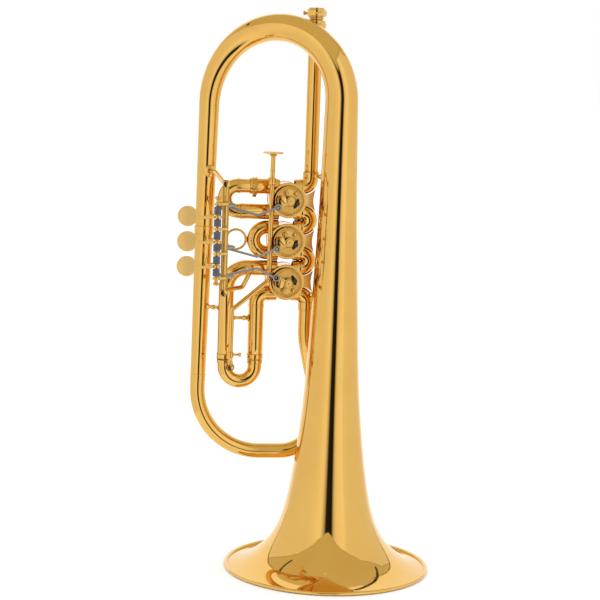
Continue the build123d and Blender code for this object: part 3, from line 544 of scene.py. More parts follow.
BB_JOIN = A(-7.2, 32.5, 132.0)
OUT_TOP = A(RUN_X - 0.4, YV, VZ[2] - PORT - 6.6)
OUT_KNEE = A(OUT_TOP[0], YV, 172.0)
BB_M = BB_JOIN + (BB_JOIN - OUT_KNEE) * 27.0 / 40.0
P, T = route([LEFT_BOT, A(-97.3, 40, 81.6), A(-17, 38, 81.6), BB_M, BB_JOIN], [49.0, 29.0, 21.0], 2.0)
put("bottom_bow_tube", [pipe(P, T, TUBE_R, BORE_R, 72, lip=0)], GOLD, "body", ["bottom_bow"])
run_dir = unit(OUT_KNEE - BB_JOIN)
P, T = route([OUT_TOP - Z * 0.05, OUT_KNEE, BB_JOIN + run_dir * 0.05], [45.0], 1.5)
put("output_tube_body", [pipe(P, T, TUBE_R, BORE_R, 64, lip=0)], GOLD, "body", ["output_tube"])
P, T = route([A(VX + 11.05, YV, VZ[2] - PORT), A(OUT_TOP[0], YV, VZ[2] - PORT), OUT_TOP], [6.35], 3)
put("outlet_elbow_body", [pipe(P, T, TUBE_R, BORE_R, 56)], GOLD, "body", ["outlet_elbow"])
IN_Z = VZ[0] + PORT + 7.0
P, T = route([A(VX + 11.05, YV, VZ[0] + PORT), A(RUN_X, YV, VZ[0] + PORT), A(RUN_X, YV, IN_Z)], [6.75], 3)
put("inlet_elbow_body", [pipe(P, T, TUBE_R, BORE_R, 56)], GOLD, "body", ["inlet_elbow"])
P, T = line((RUN_X, YV, IN_Z + 0.05), (RUN_X, YV, 411.6), 12)
put("leadpipe_tube", [pipe(P, T, 5.3, 4.75, 56)], GOLD, "body", ["leadpipe"])

fer = [ferrule(on_left(255.2), on_left(248.8), left_r(255.2), left_r(248.8)),
       ferrule((RUN_X, YV, IN_Z - 0.2), (RUN_X, YV, IN_Z + 4.6), TUBE_R),
       ferrule(OUT_TOP - Z * 6.0, OUT_TOP + Z * 0.2, TUBE_R),
       ferrule(BB_JOIN - run_dir * 2.5, BB_JOIN + run_dir * 2.5, TUBE_R, th=0.6),
       ferrule(on_left(136.5), on_left(141.5), 5.75, left_r(141.5), th=0.22, bead=0.1)]
put("tube_ferrules", fer, GOLD, "body", ["branch_ferrules"])

# ------------------------------------------------------------------ leadpipe top: receiver and split clamps
put("receiver_socket", [
    lathe([(0, 4.15), (0, 4.68), (13.0, 4.68), (13.0, 5.6), (13.9, 5.6), (14.4, 5.35), (20.2, 5.35), (20.7, 5.62), (21.6, 5.62),
           (21.6, 4.95), (14.4, 4.95), (14.4, 4.15)], (RUN_X, YV, 399.0), Z, 72, r=0.12, wrap=True)],
    GOLD, "receiver", ["mouthpiece_receiver"])


def collar(z0, z1, r_in, r_out, key=20):
    """Split clamp ring: ears at the back with the slit between them, a key slot in front, a rolled edge."""
    out = []
    a0 = math.asin(0.65 / r_out)
    n = 64
    ang = [math.pi / 2 + a0 + (2 * math.pi - 2 * a0) * k / n for k in range(n + 1)]
    ring = [(r_out * math.cos(t), r_out * math.sin(t)) for t in ang]
    back = [(r_in * math.cos(t), r_in * math.sin(t)) for t in reversed(ang)]
    ring[0], ring[-1] = (-0.65, r_out), (0.65, r_out)
    band = prism(ring[:-1] + [(0.65, r_out)] + back, (RUN_X, YV, z0), X, Y, z1 - z0, 0.18)
    band = cut(band, [prism(pill((-1.35, -0.35), 0.75, (1.35, 0.45), 0.75, 10), (RUN_X, YV - r_out + 0.75, (z0 + z1) / 2), X, Z, 3.0, 0)])
    out.append(band)
    zc, h = (z0 + z1) / 2, (z1 - z0) / 2
    for s in (-1, 1):
        ear = prism(soften([(0, -h), (4.2, -h), (4.2, h), (0, h)], [0.2, 1.2, 1.2, 0.2], 4),
                    (RUN_X + s * 0.65, YV + r_out - 0.9, zc), Y, Z, 2.6 * s, 0.15)
        out.append(ear)
    for s in (-1, 1):
        zz = zc + s * (h - 0.55)
        k = [math.pi / 2 + a0 * 2.2 + (2 * math.pi - 4.4 * a0) * q / 80 for q in range(81)]
        ps = [A(RUN_X + (r_out + 0.02) * math.cos(t), YV + (r_out + 0.02) * math.sin(t), zz) for t in k]
        ts = [A(-math.sin(t), math.cos(t), 0) for t in k]
        out.append(pipe(ps, ts, 0.28, None, 10, 0.1))
    return out


def thumb_screw(z, r_out):
    y = YV + r_out + 1.9
    out = [lathe([(-8.0, 0), (-8.0, 1.05), (8.0, 1.05), (8.0, 0)], (RUN_X, y, z), X, 24, r=0.15)]
    # turned head with a waist, and a round nut on the other side
    out.append(lathe([(6.7, 0), (6.7, 1.6), (7.2, 1.9), (7.6, 2.45), (8.7, 2.45), (9.1, 1.9), (9.3, 0.9), (9.3, 0)], (RUN_X, y, z), X, 40, r=0.2))
    out.append(lathe([(-8.7, 0), (-8.7, 1.0), (-8.3, 1.6), (-6.9, 1.7), (-6.7, 1.5), (-6.7, 0)], (RUN_X, y, z), X, 32, r=0.15))
    return out


put("clamp_ring", collar(404.8, 411.3, 5.36, 7.0), GOLD, "body", ["receiver_clamp"])
put("clamp_thumb_screw", thumb_screw(408.05, 7.0), GOLD, "clamp_screw", ["receiver_clamp_screw"])
put("collar_ring", collar(414.0, 419.6, 5.66, 6.7) + thumb_screw(416.8, 6.7), GOLD, "receiver", ["receiver_collar"])

# ------------------------------------------------------------------ valve casings, caps, tubes between them
for n, vz in enumerate(VZ, 1):
    o = A(VX, 0, vz)
    parts = [lathe([(14.5, 9.5), (14.5, 13.0), (14.9, 13.4), (16.6, 13.4), (16.9, 13.1), (35.2, 13.1), (35.5, 13.4), (37.1, 13.4),
                    (37.5, 13.0), (37.5, 9.5)], o, Y, 96, wrap=True)]
    for sx in (-1, 1):
        L = 11.0 if sx > 0 else 12.9
        for sz in (-1, 1):
            c = A(VX, YV, vz + PORT * sz)
            parts.append(lathe([(6.0, 5.2), (6.0, 5.8), (L - 2.2, 5.8), (L - 2.0, 6.05), (L - 0.15, 6.05), (L, 5.9), (L, 5.2)], c, X * sx, 56, wrap=True))
    put(f"casing_{n}", parts, GOLD, "body", [f"valve_casing_{n}"])

caps, backs = [], []
for vz in VZ:
    o = A(VX, 0, vz)
    # dished cap with a coined edge
    caps.append(lathe([(10.5, 2.4), (10.5, 9.1), (10.75, 9.4), (10.75, 10.0), (10.5, 10.3), (10.5, 10.8), (10.9, 11.2), (13.9, 11.2), (14.45, 10.8),
                       (14.45, 9.3), (17.0, 9.3), (17.0, 2.4)], o, Y, 96, wrap=True))
    for k in range(60):
        t = 2 * math.pi * k / 60
        c = o + A(11.12 * math.cos(t), 0, 11.12 * math.sin(t))
        caps.append(lathe([(11.2, 0), (11.2, 0.2), (13.7, 0.2), (13.7, 0)], c, Y, 6))
    # bearing boss and the raised stop plate under the arm
    caps.append(lathe([(9.7, 2.42), (9.7, 3.9), (10.0, 4.2), (10.55, 4.2), (10.55, 2.42)], o, Y, 56, wrap=True))
    backs.append(lathe([(37.54, 0), (37.54, 12.1), (37.9, 12.2), (39.4, 12.2), (39.8, 11.7), (40.1, 10.6), (40.2, 9.0), (40.54, 8.6), (40.54, 0)], o, Y, 96))
    backs.append(lathe([(34.8, 2.66), (34.8, 9.35), (37.54, 9.35), (37.54, 2.66)], o, Y, 72, wrap=True))
# The front caps take the darker gold copy: painted shade on the cap faces.
put("caps_front", caps, GOLD_SHADED, "body", ["front_caps"])
put("caps_back", backs, GOLD, "body", ["back_caps"])

for n, (za, zb) in enumerate(((VZ[0] - PORT, VZ[1] + PORT), (VZ[1] - PORT, VZ[2] + PORT)), 1):
    r = (za - zb) / 2
    ax = RUN_X - r
    P, T = route([A(VX + 11.05, YV, za), A(RUN_X, YV, za), A(RUN_X, YV, zb), A(VX + 11.05, YV, zb)], [r - 0.002, r - 0.002], 3)
    put(f"crook_{n}", [pipe(P, T, TUBE_R, BORE_R, 56)], GOLD, "body", [f"crook_tube_{n}"])

web = []
for vz in VZ:
    xs = np.linspace(-21.35, -13.4, 14)
    h = [15.4 - math.sqrt(11.65 ** 2 - (x + 22.5) ** 2) + 0.15 for x in xs]
    edge = [(x, hh) for x, hh in zip(xs, h)]
    right = [(-13.4 - 1.5 * math.sin(math.pi * k / 10), h[-1] * (1 - 2 * k / 10)) for k in range(1, 10)]
    web.append(prism(edge + right + [(x, -hh) for x, hh in reversed(edge)], (0, YV - 2.4, vz), X, Z, 2.0, 0.25))
put("web_plates", web, WEB, "body", ["valve_webs"])

# ------------------------------------------------------------------ stop arms, their screws, rubber, plate screws
DEG = (205.0, 205.0, 155.0)
SR = 11.0
slots = []
for n, (vz, deg) in enumerate(zip(VZ, DEG), 1):
    a = math.radians(deg)
    o = A(VX, 8.2, vz)
    bx, bz = SR * math.cos(a), SR * math.sin(a)
    d2 = A(bx, bz) / SR
    arm = prism(pill(d2 * 2.0, 1.65, d2 * (SR - 1.5), 1.65, 20), o - Y * 0.08, X, Z, 2.04, 0.25)
    s = [arm, prism(disc2(3.25, 48), o, X, Z, 2.2, 0.25), prism(disc2(1.9, 36, (bx, bz)), o - Y * 0.04, X, Z, 2.12, 0.25)]
    # stem nut in the middle, with a small oil hole
    s.append(lathe([(0, 0.45), (0, 1.9), (-0.5, 2.3), (-0.9, 2.3), (-0.9, 0.45)], A(VX, 6.0, vz), Y, 40, wrap=True))
    # stud up to the rod's ball
    s.append(lathe([(5.1, 0), (5.1, 1.0), (6.2, 1.0), (6.2, 0)], A(VX + bx, 0, vz + bz), Y, 24))
    s.append(lathe([(5.75, 0), (5.75, 1.5), (6.05, 1.65), (6.1, 0)], A(VX + bx, 0, vz + bz), Y, 6))
    # the big slotted pivot screw
    sx, sz = VX - 6.6, vz + (0.3 if n < 3 else -0.3)
    s.append(slotted((sx, 5.97, sz), -Y, 3.3, 1.5, 0.1, 0.05, 0.0, 56, 0.3))
    s.append(lathe([(5.0, 2.9), (5.0, 3.28), (5.9, 3.3), (5.9, 2.9)], A(sx, 0, sz), Y, 48, wrap=True))
    slots.append((n, sx, sz))
    put(f"stop_arm_set_{n}", s, GOLD, f"valve_rotor_{n}", [f"stop_arm_{n}"])

def sector(r0, r1, a0, a1, n=18):
    """Outline of a curved slot between two radii and two angles in degrees."""
    t = [math.radians(a0 + (a1 - a0) * k / n) for k in range(n + 1)]
    return [(r1 * math.cos(q), r1 * math.sin(q)) for q in t] + [(r0 * math.cos(q), r0 * math.sin(q)) for q in reversed(t)]


pk = []
for n, vz in enumerate(VZ):
    sg = -1 if n < 2 else 1
    a = sorted((sg * 60.0, sg * -14.0))
    # Painted shade: a thin near-black sheet laid on the cap face over each curved pocket, standing in for the shadow
    # inside it.
    pk.append(prism(soften(sector(4.9, 7.0, a[0], a[1]), 0.4, 2), (VX, 10.52, vz), X, Z, 0.12, 0.04))
    # raised plate the stops are fixed to, with a rounded outline
    pl = [(r * math.cos(math.radians(q)), r * math.sin(math.radians(q))) for q, r in
          [(sg * -35, 7.9), (sg * -60, 8.6), (sg * -100, 8.6), (sg * -130, 7.9), (sg * -128, 4.4), (sg * -40, 4.4)]]
    caps2 = prism(soften(pl, 0.9, 4), (VX, 10.50, vz), X, Z, 0.55, 0.12)
    pk.append(caps2)
shade_sheets, plates = pk[0::2], pk[1::2]
# Near-black brown colour for the painted shade in the cap pockets and the screw slots.
PAINTED_SHADE_INK = metal("cap_pocket", (0.07, 0.035, 0.012), (0.035, 0.018, 0.008), (0.12, 0.06, 0.02), 0.35, 0.2, bump=0.05, coat=0.0)
put("painted_pocket_shade", shade_sheets, PAINTED_SHADE_INK, "body", ())


def slot_shade_line(o, ang, length, width):
    """Painted shade: a dark strip lying in a driver slot that faces -Y, standing in for the shadow in the slot."""
    c, s_ = math.cos(ang), math.sin(ang)
    return prism([(a * c - b * s_, a * s_ + b * c) for a, b in ((-length, -width), (length, -width), (length, width), (-length, width))], o, X, Z, 0.06, 0)


# Painted shade in the slots of the stop-arm pivot screws and the rail screws.
for n, sx, sz in slots:
    put(f"arm_screw_slot_shade_{n}", [slot_shade_line((sx, 4.51, sz), math.radians(-48 if n < 3 else 78), 2.9, 0.3)], PAINTED_SHADE_INK, f"valve_rotor_{n}", ())
put("rail_screw_slot_shade", [slot_shade_line((-86.45, -20.70, 211.5), math.radians(-40), 2.1, 0.26), slot_shade_line((-86.45, -20.70, 290.6), math.radians(70), 2.1, 0.26)],
    PAINTED_SHADE_INK, "body", ())
put("stop_plates", plates, GOLD, "body", ())

rb, ps = [], []
for n, vz in enumerate(VZ):
    sg = -1 if n < 2 else 1
    rb.append(lathe([(6.45, 0), (6.45, 1.3), (6.75, 1.68), (9.6, 1.68), (10.1, 1.5), (10.45, 1.5), (10.45, 0)], A(VX + 5.2, 0, vz + sg * 1.9), Y, 36, r=0.12))
    for dx in (-3.0, 4.0):
        c = A(VX + dx, 10.45, vz - sg * 5.6)
        ps.append(slotted(c, -Y, 1.55, 1.9, 0.5, 0.6, 0.6 + dx, 36, 0.45))
        ps.append(lathe([(-0.9, 0), (-0.9, 1.8), (-0.6, 2.05), (0.05, 2.05), (0.05, 0)], c, Y, 6))
put("stop_rubbers", rb, RUBBER, "body", ["rubber_stops"])
put("plate_screws", ps, GOLD, "body", ["stop_plate_screws"])

# ------------------------------------------------------------------ first slide
sh = []
SX0 = VX - 12.95
for sz, xe in ((1, -63.0), (-1, -69.5)):
    c = A(0, YV, VZ[0] + sz * PORT)
    L = SX0 - xe
    sh.append(lathe([(0, 5.42), (0, 5.75), (0.3, 5.85), (L - 2.6, 5.85), (L - 2.45, 6.1), (L - 0.2, 6.1), (L, 5.95), (L, 5.42)],
                    c + A(SX0, 0, 0), -X, 72, wrap=True))
# turned collar with two beads and a drop below it
c = A(0, YV, VZ[0] + PORT)
sh.append(lathe([(57.6, 5.86), (57.6, 6.5), (57.85, 7.1), (58.3, 7.25), (58.7, 6.95), (59.0, 6.5), (59.8, 6.5), (60.1, 6.95), (60.5, 7.25),
                 (60.95, 7.1), (61.2, 6.5), (61.2, 5.86)], c, -X, 72, wrap=True))
sh.append(lathe([(-6.2, 0), (-6.2, 1.5), (-6.7, 1.6), (-7.0, 1.1), (-7.5, 1.55), (-8.1, 1.45), (-8.35, 0.9), (-8.35, 0)],
                c + A(-59.4, 0, 0), Z, 32, r=0.15))
put("slide_one_sleeves", sh, GOLD, "body", ["slide_1_sleeves"])
P, T = route([A(-50, YV, VZ[0] + PORT), A(-72 - PORT, YV, VZ[0] + PORT), A(-72 - PORT, YV, VZ[0] - PORT), A(-50, YV, VZ[0] - PORT)],
             [PORT - 0.01] * 2, 3)
s1 = [pipe(P, T, LEG_R, LEG_IN, 64)]
# bow sleeves where the legs join the bow
for sz in (1, -1):
    s1.append(ferrule((-70.2, YV, VZ[0] + sz * PORT), (-72.4, YV, VZ[0] + sz * PORT), LEG_R, th=0.5, bead=0.12))
put("slide_one_bow", s1, GOLD, "slide_1", ["slide_1_bow"])

# ------------------------------------------------------------------ second slide and its ring
P, T = route([A(VX - 9, YV, VZ[1] + PORT), A(-58.9, YV, VZ[1] + PORT), A(-58.9, YV, VZ[1] - PORT), A(VX - 9, YV, VZ[1] - PORT)],
             [PORT - 0.002] * 2, 3)
put("slide_two_bow", [pipe(P, T, 5.12, 4.6, 64)], GOLD, "slide_2", ["slide_2_bow"])
RX = -49.4 - PORT - BORE_R - 8.25
put("slide_two_ring", [ring_torus((RX, YV, VZ[1]), Y, 7.4, 0.95, 112, 20),
                       lathe([(6.6, 0), (6.6, 1.0), (7.2, 1.25), (7.6, 1.9), (8.25, 2.3), (8.25, 0)], (RX, YV, VZ[1]), X, 36, r=0.15)],
    GOLD, "slide_2", ["slide_2_pull_ring"])

# ------------------------------------------------------------------ third slide
S3L, S3R, S3Z = -78.4, -55.4, 150.2
up, low = VZ[2] + PORT, VZ[2] - PORT
P, T = route([A(SX0, YV, up), A(S3L, YV, up), A(S3L, YV, 156.0)], [15.0], 2.5)
put("slide_three_upper", [pipe(P, T, TUBE_R + 0.1, SLEEVE_IN, 64),
                          ferrule((S3L, YV, 156.1), (S3L, YV, 159.6), TUBE_R + 0.1, th=0.5, bead=0.15)],
    GOLD, "body", ["slide_3_upper_branch"])
P, T = route([A(SX0, YV, low), A(S3R, YV, low), A(S3R, YV, 156.0)], [7.4], 3)
put("slide_three_lower", [pipe(P, T, TUBE_R + 0.1, SLEEVE_IN, 64),
                          ferrule((S3R, YV, 156.1), (S3R, YV, 159.6), TUBE_R + 0.1, th=0.5, bead=0.15),
                          ferrule((S3R, YV, 195.6), (S3R, YV, 197.6), TUBE_R + 0.1, th=0.35, bead=0.1)],
    GOLD, "body", ["slide_3_lower_branch"])
r3 = (S3R - S3L) / 2
P, T = route([A(S3L, YV, 186), A(S3L, YV, S3Z - r3), A(S3R, YV, S3Z - r3), A(S3R, YV, 186)], [r3 - 0.002] * 2, 2.5)
s3 = [pipe(P, T, LEG_R, LEG_IN, 64)]
for xx in (S3L, S3R):
    s3.append(lathe([(152.2, 5.32), (152.2, 5.8), (152.5, 6.0), (154.9, 6.0), (155.2, 5.8), (155.2, 5.32)], A(xx, YV, 0), Z, 64, wrap=True))
put("slide_three_bow", s3, GOLD, "slide_3", ["slide_3_bow"])
put("slide_three_felt", [lathe([(155.22, 5.33), (155.22, 5.85), (155.3, 5.93), (155.85, 5.93), (155.94, 5.85), (155.94, 5.33)], A(S3L, YV, 0), Z, 64, wrap=True)],
    RUBBER, "slide_3", ())

# ------------------------------------------------------------------ trigger
RXX, RY = -48.6, 12.0
P, T = route([A(RXX + 0.6, RY, 310.5), A(RXX, RY, 217.5), A(-75.6, RY, 195.0), A(-76.0, RY, 154.0)], [5.0, 4.0], 4)
# the upper run is a little thicker than the rest
rr = [1.8 if p[2] > 216 else 1.72 for p in P]
eye = prism(disc2(3.2, 40), (-76.0, RY + 1.4, 151.5), X, Z, 2.8, 0.35)
rod = [pipe(P, T, rr, None, 36),
       ring_torus((RXX + 0.52, RY, 300.0), Z, 1.78, 0.28, 36, 10), eye,
       lathe([(153.4, 0), (153.4, 2.1), (154.2, 2.1), (156.4, 1.8), (156.4, 0)], (-76.0, RY, 0), Z, 32, r=0.1)]
rod.append(lathe([(0, 0), (0, 1.2), (1.6, 1.2), (1.9, 0.9), (5.2, 0.9), (5.4, 1.3), (6.0, 1.75), (7.0, 1.6), (7.4, 0.9), (7.4, 0)], (-75.2, RY, 161.0), X, 32, r=0.15))
rod.append(lathe([(159.0, 0), (159.0, 2.1), (159.4, 2.4), (162.6, 2.4), (163.0, 2.1), (163.0, 0)], (-76.0, RY, 0), Z, 36, r=0.1))
put("push_rod", rod, GOLD, "slide_3", ["trigger_rod"])
sad = [lathe([(13.45, 0), (13.45, 2.4), (14.2, 2.4), (14.6, 1.9), (17.0, 1.9), (18.6, 2.6), (20.5, 3.0), (20.5, 0)], (-76.0, 0, 151.5), Y, 36, r=0.15),
       slotted((-76.0, RY - 1.45, 151.5), -Y, 2.2, 1.2, 0.45, 0.45, 0.9, 40, 0.25)]
put("rod_saddle", sad, GOLD, "slide_3", ["trigger_saddle"])
bt = [lathe([(310.55, 0), (310.55, 2.7), (310.9, 3.0), (311.3, 2.6), (311.9, 3.2), (312.1, 7.2), (312.5, 7.65), (313.2, 7.65), (313.5, 7.3),
             (313.45, 6.2), (313.35, 3.0), (313.3, 0)], (RXX + 0.6, RY, 0), Z, 72, r=0.12)]
put("push_button", bt, SATIN, "slide_3", ["trigger_button"])
gd = [lathe([(289.0, 2.1), (289.0, 2.8), (289.4, 3.1), (290.2, 3.1), (290.6, 2.85), (292.4, 2.85), (292.8, 3.1), (293.6, 3.1), (294.0, 2.8), (294.0, 2.1)],
            (RXX + 0.45, RY, 0), Z, 48, wrap=True),
      lathe([(2.6, 0), (2.6, 1.9), (3.4, 1.45), (5.6, 1.3), (6.6, 1.7), (7.9, 3.1), (7.95, 0)], (RXX + 0.45, RY, 291.5), Y, 36, r=0.2)]
put("rod_guide", gd, GOLD, "body", ["trigger_guide"])

# ------------------------------------------------------------------ lever frame
AX, AY = -93.0, -25.0
xc = AX + 6.55
rail = prism(soften([(-2.35, 208.5), (2.35, 208.5), (2.35, 290.0), (1.5, 293.6), (-1.9, 293.6), (-2.35, 290.0)], [2.3, 2.3, 0.6, 1.0, 1.0, 0.6], 6),
             (xc, AY + 7.8, 0), X, Z, 2.2, 0.3)
rail_face = lathe([(209.5, 0), (209.5, 1.2), (212.0, 1.9), (290.2, 1.9), (292.8, 1.3), (292.8, 0)], (xc, AY + 7.15, 0), Z, 40, r=0.3)
put("rail_plate", [rail, rail_face], GOLD, "body", ["lever_rail"])
sc = []
for z, an in ((211.5, 0.9), (290.6, 0.35)):
    sc.append(slotted((xc, AY + 5.57, z), -Y, 2.5, 1.22, 0.1, 0.05, an, 44, 0.3))
put("rail_slotted_screws", sc, GOLD, "body", ["rail_screws"])
post = []
for z in (276.4, 258.3, 240.4, 222.6):
    post.append(lathe([(-1.1, 1.34), (-1.1, 2.35), (-0.8, 2.6), (0.8, 2.6), (1.1, 2.35), (1.1, 1.34)], (AX, AY, z), Z, 48, wrap=True))
    post.append(prism(soften([(1.2, 0.6), (1.9, 2.3), (4.9, 5.5), (8.2, 5.5), (8.2, 2.8), (5.6, 2.2), (2.2, -1.2)], 0.5, 3),
                      (AX, AY, z - 1.0), X, Y, 2.0, 0.25))
    # diamond foot screwed on the rail
    post.append(prism(soften([(-2.0, 0), (0, -2.6), (2.0, 0), (0, 2.6)], 0.5, 3), (xc, AY + 5.6, z), X, Z, 1.0, 0.2))
    post.append(lathe([(0, 0), (0, 0.95), (0.5, 0.9), (0.75, 0.5), (0.8, 0)], (xc, AY + 4.62, z), -Y, 20))
put("rail_posts", post, GOLD, "body", ["lever_posts"])
axle = [lathe([(217.5, 0), (217.5, 1.3), (282.0, 1.3), (282.0, 0)], (AX, AY, 0), Z, 36)]
for z, sg in ((217.5, 1), (282.0, -1)):
    axle.append(lathe([(0, 0), (0, 1.5), (0.3, 2.1), (0.7, 2.38), (1.5, 2.38), (1.8, 2.0), (2.1, 1.7), (2.4, 1.6), (2.4, 0)], (AX, AY, z), Z * sg, 36))
put("axle_pin", axle, GOLD, "body", ["lever_axle"])

HUB = (267.4, 249.3, 231.5)
BALLZ = (274.0, 243.0, 221.0)
POSTZ = (276.4, 258.3, 240.4, 222.6)
CR = (6.5, 28.0)
LUG = (CR[0] - 1.75, CR[1] + 3.03)
for n, (hz, bz) in enumerate(zip(HUB, BALLZ), 1):
    s = [lathe([(-1.3, 1.36), (-1.3, 2.7), (-1.0, 3.0), (0.6, 3.0), (0.9, 2.7), (0.9, 1.36)], (AX, AY, hz), Z, 48, wrap=True)]
    # bar to the touch, waisted
    s.append(prism(soften([(-2.2, -2.4), (-2.2, 0.2), (-11.5, -3.9), (-21.0, -7.8), (-22.0, -9.0), (-21.4, -10.2), (-11.0, -6.2)], 0.7, 4),
                   (AX, AY, hz - 1.3), X, Y, 2.2, 0.35))
    # bent crank to the post of the ball
    s.append(prism(soften([(1.3, 1.8), (-3.3, 10.0), (LUG[0] + 1.2, LUG[1] - 5.0), (LUG[0] + 1.3, LUG[1] + 0.2), (LUG[0], LUG[1] + 1.4),
                           (LUG[0] - 1.3, LUG[1] + 0.2), (LUG[0] - 1.2, LUG[1] - 4.0), (-6.0, 10.4), (-1.9, 1.4)], 1.0, 4),
                   (AX, AY, hz - 1.3), X, Y, 2.2, 0.35))
    z0, z1 = min(hz - 1.3, bz - 1.8), max(hz + 0.9, bz + 1.8)
    s.append(lathe([(z0, 0), (z0, 0.9), (z0 + 0.2, 1.1), (z1 - 0.3, 1.1), (z1, 0.8), (z1, 0)], (AX + LUG[0], AY + LUG[1], 0), Z, 28))
    s.append(ball((AX + LUG[0], AY + LUG[1], bz), 1.3, Z, 24, 12))
    put(f"lever_bar_{n}", s, GOLD, f"lever_{n}", [f"finger_lever_{n}"])
    # round touch: slightly dished face with a rolled edge
    tx, ty, tz = AX - 22.6, AY - 11.5, hz + 1.0
    t = [lathe([(2.0, 0), (2.0, 6.2), (1.7, 7.05), (1.15, 7.3), (0.6, 7.3), (0.15, 7.0), (0.0, 6.4), (0.18, 5.6), (0.38, 3.5), (0.42, 0)],
               (tx, ty, tz), Y, 96)]
    put(f"touch_{n}", t, SATIN, f"lever_{n}", ())

springs = []
for n, hz in enumerate(HUB):
    for z0, z1 in ((hz + 1.1, POSTZ[n] - 1.3), (POSTZ[n + 1] + 1.3, hz - 1.5)):
        L = z1 - z0 - 0.2
        turns = 7
        m = turns * 28
        rw = L / (turns + 1) / 2 * 0.94
        k = np.linspace(0, 1, m + 1)
        # evenly pitched coil from end to end
        zz = z0 + 0.1 + rw + (L - 2 * rw) * k
        ps = [A(AX + 2.35 * math.cos(2 * math.pi * turns * q), AY + 2.35 * math.sin(2 * math.pi * turns * q), z) for q, z in zip(k, zz)]
        ts = [unit(A(-math.sin(2 * math.pi * turns * q) * 2.35, math.cos(2 * math.pi * turns * q) * 2.35, (L - 2 * rw) / (2 * math.pi * turns))) for q in k]
        springs.append(pipe(ps, ts, min(rw, 0.5), None, 12, 0.1))
put("coil_springs", springs, SPRING, "body", ["lever_springs"])

# ------------------------------------------------------------------ connecting rods and their balls
LY = 3.0
for n, (vz, deg, bz) in enumerate(zip(VZ, DEG, BALLZ), 1):
    a = math.radians(deg)
    px, pz = VX + SR * math.cos(a), vz + SR * math.sin(a)
    put(f"ball_pin_{n}", [ball((px, LY, pz), 1.5, Y, 36, 20), lathe([(1.2, 0), (1.2, 0.8), (1.9, 0.8), (1.9, 0)], (px, LY, pz), Y, 24)],
        STEEL, f"ball_{n}", [f"rod_ball_{n}"])
    qx = AX + CR[0]
    kz = min(pz, bz) - 6.0 if n < 3 else max(pz, bz) + 6.6
    kx = -59.3
    fwd = 1.75 if n == 3 else 0.0
    yf = LY - 0.9 - (fwd - 0.2 if fwd else 0.0)
    depth = LY + 0.9 - yf
    s = [lathe([(0, 1.58), (0, 2.2), (0.3, 2.5), (depth - 0.3, 2.5), (depth, 2.2), (depth, 1.58)], (px, yf, pz), Y, 48, wrap=True)]
    sg = -1 if n < 3 else 1
    p0 = A(px - 1.9, pz + sg * 0.6)
    k0 = A(kx, kz)
    p1 = A(qx + 1.6, bz + sg * 0.5)
    w = 0.85
    d0, d1 = unit(k0 - p0), unit(p1 - k0)
    n0, n1 = A(-d0[1], d0[0]), A(-d1[1], d1[0])
    mid = unit(n0 + n1)
    mid = mid * w / float(np.dot(mid, n0))
    outline = [p0 + n0 * w, k0 + mid, p1 + n1 * w, p1 - n1 * w, k0 - mid, p0 - n0 * w]
    rod = prism(soften(outline, [0.3, 1.6, 0.3, 0.3, 1.6, 0.3], 5), (0, LY + 0.7 - fwd, 0), X, Z, 1.4, 0.28, 3)
    s.append(rod)
    # closed cup at the lever end with its lock nut
    s.append(lathe([(-1.6, 0), (-1.6, 1.5), (-1.3, 2.0), (-0.9, 2.25), (0.9, 2.25), (1.3, 2.0), (1.6, 1.6), (1.6, 0)], (qx, LY, bz), Y, 44, r=0.12))
    s.append(lathe([(-1.75, 0), (-1.75, 0.75), (-1.5, 0.85), (-1.5, 0)], (qx, LY, bz), Y, 20))
    yc = LY - 0.7 - fwd / 2 + (0.7 if not fwd else 0.0)
    s.append(lathe([(5.0, 0), (5.0, 1.35), (5.3, 1.6), (8.7, 1.6), (9.0, 1.35), (9.0, 0)], (qx, yc, bz), X, 6, r=0.1))
    s.append(lathe([(1.8, 0), (1.8, 0.9), (10.4, 0.9), (10.4, 0)], (qx, yc, bz), X, 24, r=0.1))
    put(f"link_rod_{n}", s, STEEL, f"rod_{n}", [f"connecting_rod_{n}"])

# ------------------------------------------------------------------ braces and brackets
br = []


def brace(p0, p1, r=1.15, ball_at=0.5, foot0=None, foot1=None):
    """Turned strut: slim bar, a bead in the middle, flared feet."""
    p0, p1 = np.array(p0, float), np.array(p1, float)
    L = float(np.linalg.norm(p1 - p0))
    f0, f1 = foot0 or r * 1.7, foot1 or r * 1.7
    k = min(1.6, L * 0.22)
    prof = [(0, 0), (0, f0), (k * 0.35, f0 * 0.92), (k, r), (L * ball_at - r * 1.3, r), (L * ball_at - r * 0.7, r * 1.45), (L * ball_at, r * 1.65),
            (L * ball_at + r * 0.7, r * 1.45), (L * ball_at + r * 1.3, r), (L - k, r), (L - k * 0.35, f1 * 0.92), (L, f1), (L, 0)]
    return lathe(prof, p0, p1 - p0, 40, r=0.25)


for z, x in ((295.6, RUN_X), (206.0, -17.0)):
    d = unit(A(-x, -YV, 0))
    rb_ = 13.75 if z > 250 else 17.3
    s0 = A(x, YV, z) + d * (TUBE_R + 0.1)
    L = math.hypot(x, YV) - rb_ - 0.1 - TUBE_R - 0.1
    br.append(brace(s0, s0 + d * L, 1.3))
put("bell_struts", br, GOLD, "body", ["bell_braces"])

sb = [brace((S3L + TUBE_R, YV, 187.0), (S3R - TUBE_R, YV, 187.0), 1.3, 0.72, 2.4, 2.9)]
lft = on_left(194.0)
d = unit(A(lft[0] - S3L, lft[1] - YV, 0))
L = math.hypot(lft[0] - S3L, lft[1] - YV)
s0 = A(S3L, YV, 194.0) + d * TUBE_R
sb.append(brace(s0, s0 + d * (L - TUBE_R - left_r(194.0)), 1.3, 0.5, 2.6, 2.6))
put("slide_struts", sb, GOLD, "body", ["slide_braces"])

